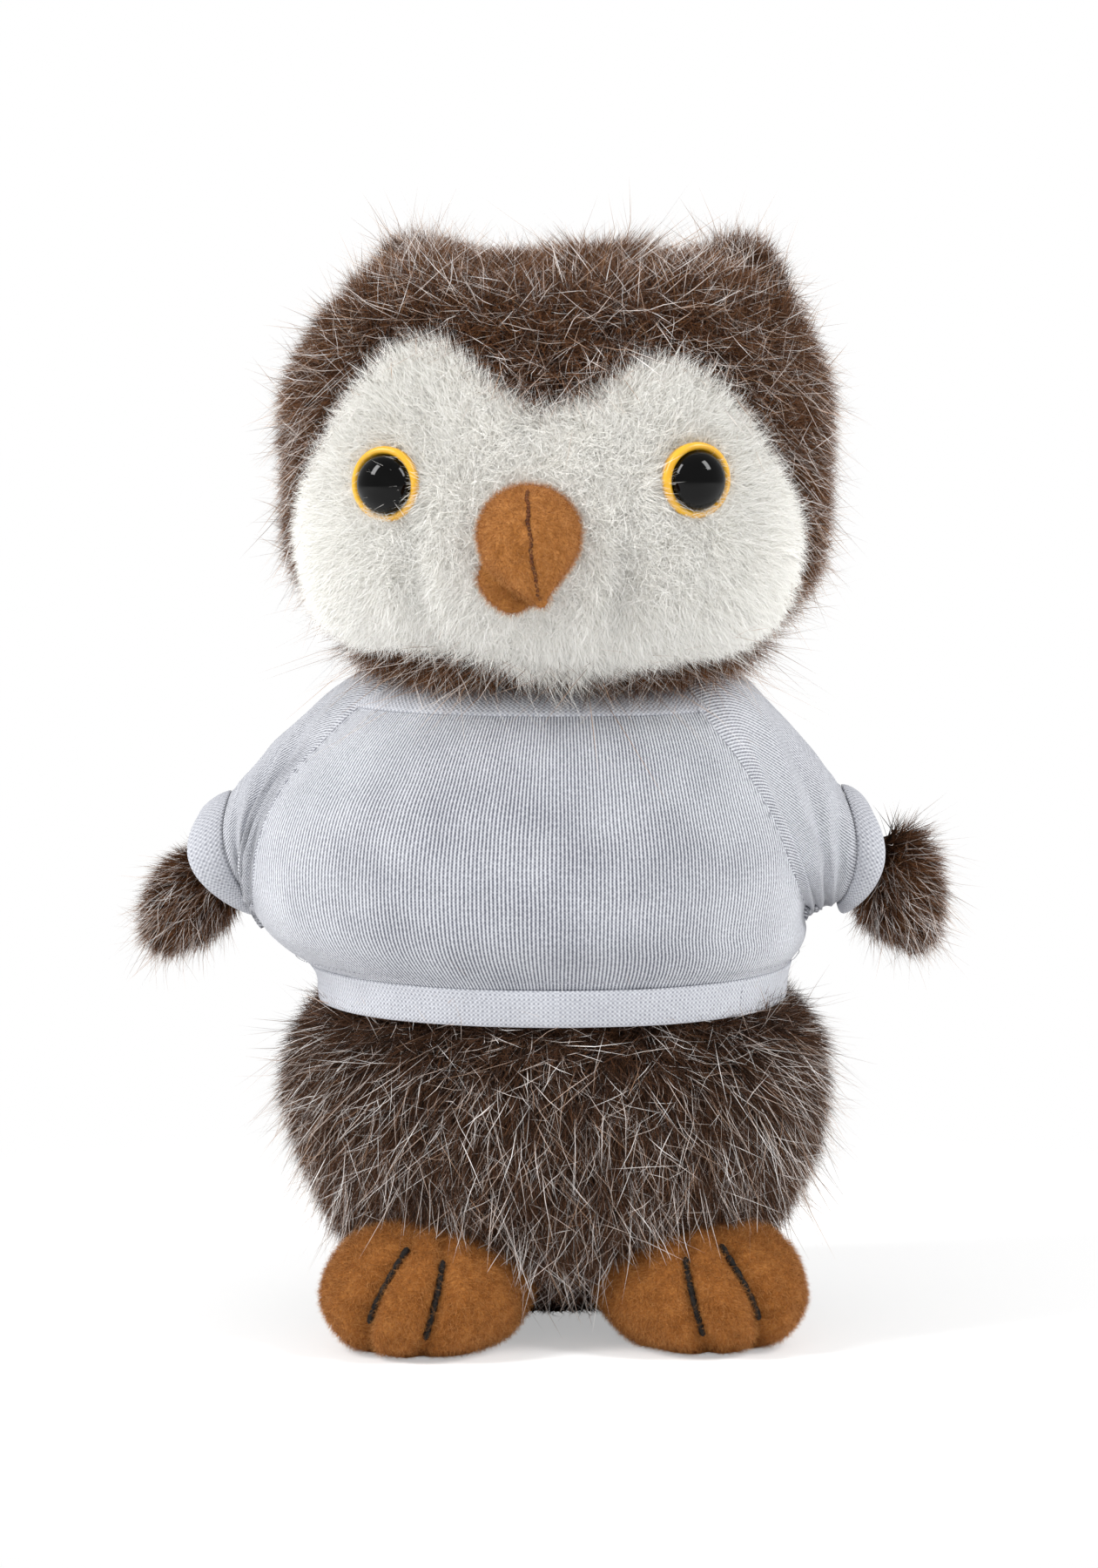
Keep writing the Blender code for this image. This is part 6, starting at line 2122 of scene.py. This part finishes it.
    def panels(self) -> list[bpy.types.Object]:
        """Front and back panel, which meet under the arms."""
        made = []
        for name, start, node in (
            ("shirt_front_cloth", 0.0, "shirt_front"),
            ("shirt_back_cloth", math.pi, "shirt_back"),
        ):
            azimuth = start + np.linspace(-math.pi / 2, math.pi / 2, 110)
            height = np.concatenate(
                [
                    np.linspace(self.hem_top - 0.2 * MM, 0.0665, 22),
                    np.linspace(0.0672, self.collar_low + 1.2 * MM, 44),
                ]
            )
            across, up = np.meshgrid(azimuth, height)
            mesh = grid_mesh(name, self.panel(across, up, 1.1 * MM), closed=False)
            area = self.area(mesh)
            one = piece(name, mesh, "jersey")
            thicken(one, self.cloth)
            tall = self.collar_low - self.hem_top
            self.dress(one, "body", [node], (area / tall, tall), ["body_backing"])
            made.append(one)
        return made

    def out(self, azimuth: np.ndarray) -> np.ndarray:
        """Level direction away from the middle, at angles from the front."""
        return np.stack([np.sin(azimuth), -np.cos(azimuth), 0 * azimuth], axis=-1)

    def sleeve(self, side: Side) -> bpy.types.Object:
        """One sleeve, with the folds that its bent arm presses into it."""
        count, rows = 96, 60
        inner = self.seam_ring(side, count, 1.15 * MM)
        seam, _, tilt = self.cuff_rings(side, count)
        turn = turns(count)
        upper = share(np.cos(turn))[:, None]
        into = np.array([side.sign * math.cos(tilt), 0.0, -math.sin(tilt)]) * (1.0 - upper)
        into = into + np.array([side.sign * 0.68, 0.0, -0.73]) * upper
        into /= np.linalg.norm(into, axis=1, keepdims=True)
        trunk = inner * np.array([1 / 0.045, 1 / 0.040, 0.0])
        trunk /= np.linalg.norm(trunk, axis=1, keepdims=True)
        leave = np.array([side.sign, 0.0, 0.0]) - 0.8 * side.sign * trunk[:, :1] * trunk
        leave[:, 2:] = self.shoulder_lift[side] * upper
        leave /= np.linalg.norm(leave, axis=1, keepdims=True)
        length = np.linalg.norm(seam - inner, axis=1, keepdims=True)
        reach = 0.12 + 0.24 * upper
        p1, p2 = inner + leave * length * reach, seam - into * length * 0.36
        grid = np.array(
            [
                inner * (1 - t) ** 3
                + 3 * p1 * t * (1 - t) ** 2
                + 3 * p2 * t**2 * (1 - t)
                + seam * t**3
                for t in np.linspace(0.0, 1.0, rows)
            ]
        )
        t = np.linspace(0.0, 1.0, rows)[:, None]
        turn = turn[None, :]
        facing = np.abs(np.sin(turn)) ** 0.8
        lower = share(0.5 - 0.5 * np.cos(turn)) ** 1.5
        lift = np.zeros((rows, count))
        for place, high, wide, low_share in side.pick(self.left_folds, self.right_folds):
            ridge = place + 0.05 * np.sin(2 * turn + place * 9.0)
            weight = facing * ((1 - low_share) + low_share * lower)
            lift = lift + high * MM * weight * bell(t, ridge, wide)
            lift = lift - 0.5 * high * MM * weight * bell(t, ridge + 1.5 * wide, 0.6 * wide)
        lift = lift + (lumps(grid, 9 * MM, 6.0 + side.sign) * 0.4 * MM) * np.sin(math.pi * t)
        lift = lift - 0.12 * MM * bell(t, 0.03, 0.02) - 0.25 * MM * bell(t, 0.985, 0.02)
        grid = grid + grid_normals(grid, True) * lift[..., None]
        mesh = grid_mesh(f"{side.value}_sleeve_cloth", grid, even=True)
        if np.dot(mesh.polygons[0].normal, grid[0, 0] - grid[0].mean(axis=0)) < 0.0:
            mesh.flip_normals()
        area = self.area(mesh)
        made = piece(f"{side.value}_sleeve_cloth", mesh, "jersey")
        thicken(made, self.cloth)
        wing = f"{side.value}_wing"
        start = inner.mean(axis=0) + (seam - inner).mean(axis=0) * 0.15
        end = seam.mean(axis=0)
        settled(made)
        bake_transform(made, "body", wing, start=tuple(start), end=tuple(end))
        flat = (self.sleeve_girth, area / self.sleeve_girth)
        node = f"{side.value}_sleeve"
        return self.dress(made, None, [node], flat, [f"{wing}_backing"], "gathered")

    def folded(
        self, name: str, rows: np.ndarray, gap: float, node: str, body: str, rests: str
    ) -> bpy.types.Object:
        """A strip of jersey folded double over its outer edge.

        Args:
            name: the piece's name.
            rows: rings of the outer layer, from its seam to its fold.
            gap: distance between the middles of the two layers.
            node: the CAD node that it stands for.
            body: what it rides on.
            rests: the piece that it lies on; not used.

        Returns:
            The band.
        """
        normal = grid_normals(rows, True)
        edge = rows[-1] - rows[-2]
        edge = edge / np.linalg.norm(edge, axis=1, keepdims=True)
        bends = [
            rows[-1]
            - normal[-1] * gap / 2 * (1.0 - math.cos(a))
            + edge * gap / 2 * math.sin(a)
            for a in np.linspace(0.0, math.pi, 7)[1:-1]
        ]
        under = (rows - normal * gap)[::-1]
        mesh = grid_mesh(name, np.concatenate([rows, np.array(bends), under]))
        if np.dot(mesh.polygons[0].normal, normal[0, 0]) < 0.0:
            mesh.flip_normals()
        round_it = float(
            np.linalg.norm(np.diff(rows[0], axis=0, append=rows[0][:1]), axis=1).sum()
        )
        area = self.area(mesh)
        made = piece(name, mesh, "band")
        thicken(made, self.layer)
        tall = area / round_it + self.allowance
        self.dress(made, body, [node], (round_it, tall), [rests], "folded")
        return made

    def cuff(self, side: Side) -> bpy.types.Object:
        """One cuff: a band of folded jersey round the wing."""
        seam, mouth, _ = self.cuff_rings(side, 96)
        rows = []
        for t in np.linspace(0.0, 1.0, 12):
            row = seam * (1 - t) + mouth * t
            middle = row.mean(axis=0)
            swell = 1.0 + 0.055 * math.sin(math.pi * t) ** 0.7
            rows.append(middle + (row - middle) * swell)
        wing = f"{side.value}_wing"
        return self.folded(
            f"{side.value}_cuff_band",
            np.array(rows),
            self.band - self.layer,
            f"{side.value}_cuff",
            wing,
            f"{wing}_backing",
        )

    def bands(self) -> list[bpy.types.Object]:
        """Hem band and collar band."""
        made = []
        count = 160
        azimuth = turns(count)
        for name, seam, fold, node in (
            ("hem_band_cloth", self.hem_top, self.hem_bottom, "hem_band"),
            ("collar_band_cloth", self.collar_low, self.collar_top, "collar_band"),
        ):
            rows = []
            for t in np.linspace(0.0, 1.0, 14):
                height = np.full(count, seam + (fold - seam) * t)
                puff = 0.45 * MM * math.sin(math.pi * t) ** 0.6
                row = self.torso(azimuth, height, 1.0 * MM)
                rows.append(row + self.out(azimuth) * (self.band * 0.35 + puff))
            rows = np.array(rows)
            ripple = lumps(rows * np.array([1.0, 1.0, 0.3]), 9 * MM, 5.5) * 0.25 * MM
            rows = rows + self.out(azimuth)[None] * ripple[..., None]
            gap = self.band - self.layer
            made.append(self.folded(name, rows, gap, node, "body", "body_backing"))
        return made

    def stitching(self) -> list[bpy.types.Object]:
        """Rows over the hem, marks on the raglan seams and the hem band's joint."""
        around = np.linspace(-math.pi / 2, math.pi / 2, 300)
        level = np.full(300, self.hem_top + 1.3 * MM)
        rows = [
            (f"hem_seam_{word}", self.panel(start + around, level, 1.50 * MM), 1.15, 0.09)
            for word, start in (("front", 0.0), ("back", math.pi))
        ]
        for side in Side:
            ring = self.seam_ring(side, 240, 1.62 * MM)
            rows.append((f"{side.value}_raglan_marks", ring[6:110], 2.3, 0.11))
        height = np.linspace(self.hem_bottom + 0.8 * MM, self.hem_top, 30)
        joint = self.torso(np.full(30, self.joint_at), height, 2.05 * MM)
        rows.append(("hem_band_joint", joint, 0.9, 0.07))
        made = []
        for name, route, spacing, radius in rows:
            row = StitchRow(radius * MM, spacing * MM, 0.42).sew(route, name, "seam_thread")
            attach(row, "body")
            made.append(row)
        return made

    def build(self) -> list[bpy.types.Object]:
        """Makes the whole shirt."""
        made = self.panels() + self.bands() + self.stitching()
        for side in Side:
            made += [self.sleeve(side), self.cuff(side)]
        return made


# The studio


@dataclass
class Studio:
    """Camera at the picture's viewing angle, pale floor and soft light."""

    camera_at: tuple[float, float, float] = (-0.0013, -0.950, 0.190)
    pitch_down: float = 6.12
    focal_pixels: float = 6684.0
    picture_height: int = 1800
    ambient: float = 0.57
    sensor: float = 36.0

    def camera(self) -> None:
        """Places the camera."""
        lens = bpy.data.cameras.new("camera")
        lens.sensor_fit = "VERTICAL"
        lens.sensor_height = self.sensor
        lens.lens = self.focal_pixels * self.sensor / self.picture_height
        lens.clip_start = 0.01
        made = bpy.data.objects.new("camera", lens)
        made.location = self.camera_at
        made.rotation_euler = (math.radians(90.0 - self.pitch_down), 0.0, 0.0)
        bpy.context.scene.collection.objects.link(made)
        bpy.context.scene.camera = made

    def floor(self) -> None:
        """Lays the floor."""
        mesh = bpy.data.meshes.new("studio_floor")
        s = 60.0
        mesh.from_pydata(
            [(-s, -s, 0.0), (s, -s, 0.0), (s, s, 0.0), (-s, s, 0.0)], [], [(0, 1, 2, 3)]
        )
        made = bpy.data.objects.new("studio_floor", mesh)
        bpy.context.scene.collection.objects.link(made)
        mesh.materials.append(PaintedFloor().build())

    def lamp(self, name: str, place: Sequence[float], size: float, power: float) -> None:
        """Adds a soft box that looks at the owl."""
        light = bpy.data.lights.new(name, "AREA")
        light.shape = "RECTANGLE"
        light.size = size
        light.size_y = size * 2.2
        light.energy = power
        made = bpy.data.objects.new(name, light)
        made.location = place
        aim = Vector((0.0, 0.0, 0.09)) - Vector(place)
        made.rotation_euler = aim.to_track_quat("-Z", "Y").to_euler()
        bpy.context.scene.collection.objects.link(made)

    def build(self) -> None:
        """Makes the studio."""
        self.camera()
        self.floor()
        world = bpy.data.worlds.new("white_room")
        world.use_nodes = True
        sky = world.node_tree.nodes["Background"]
        sky.inputs["Color"].default_value = linear("#ffffff")
        path = add_node(world.node_tree, "ShaderNodeLightPath")
        strength = add_node(
            world.node_tree,
            "ShaderNodeMapRange",
            {"Value": path.outputs["Is Camera Ray"], "To Min": self.ambient, "To Max": 1.0},
        )
        world.node_tree.links.new(strength.outputs[0], sky.inputs["Strength"])
        bpy.context.scene.world = world
        bpy.context.scene.view_settings.view_transform = "Standard"
        self.lamp("left_box", (-0.80, -0.34, 0.80), 0.26, 11.2)
        self.lamp("right_box", (0.80, -0.34, 0.86), 0.26, 9.6)


def main() -> None:
    """Builds the scene and reports its pieces."""
    logging.basicConfig(level=logging.INFO, format="%(message)s")
    Studio().build()
    head = HeadPlush()
    groups: list[tuple[str, Callable[[], list[bpy.types.Object]]]] = [
        ("body", BodyPlush().build),
        ("head", head.build),
        ("eyes", Eyes(head).build),
        ("beak", Beak(head).build),
        ("feet", Feet().build),
        ("wings", Wings().build),
        ("shirt", Shirt().build),
    ]
    for label, build in groups:
        for made in build():
            log.info("%s: %s, %d faces", label, made.name, len(made.data.polygons))
    for unused in BLANKS:
        bpy.data.objects.remove(unused, do_unlink=True)


if __name__ == "__main__":
    main()
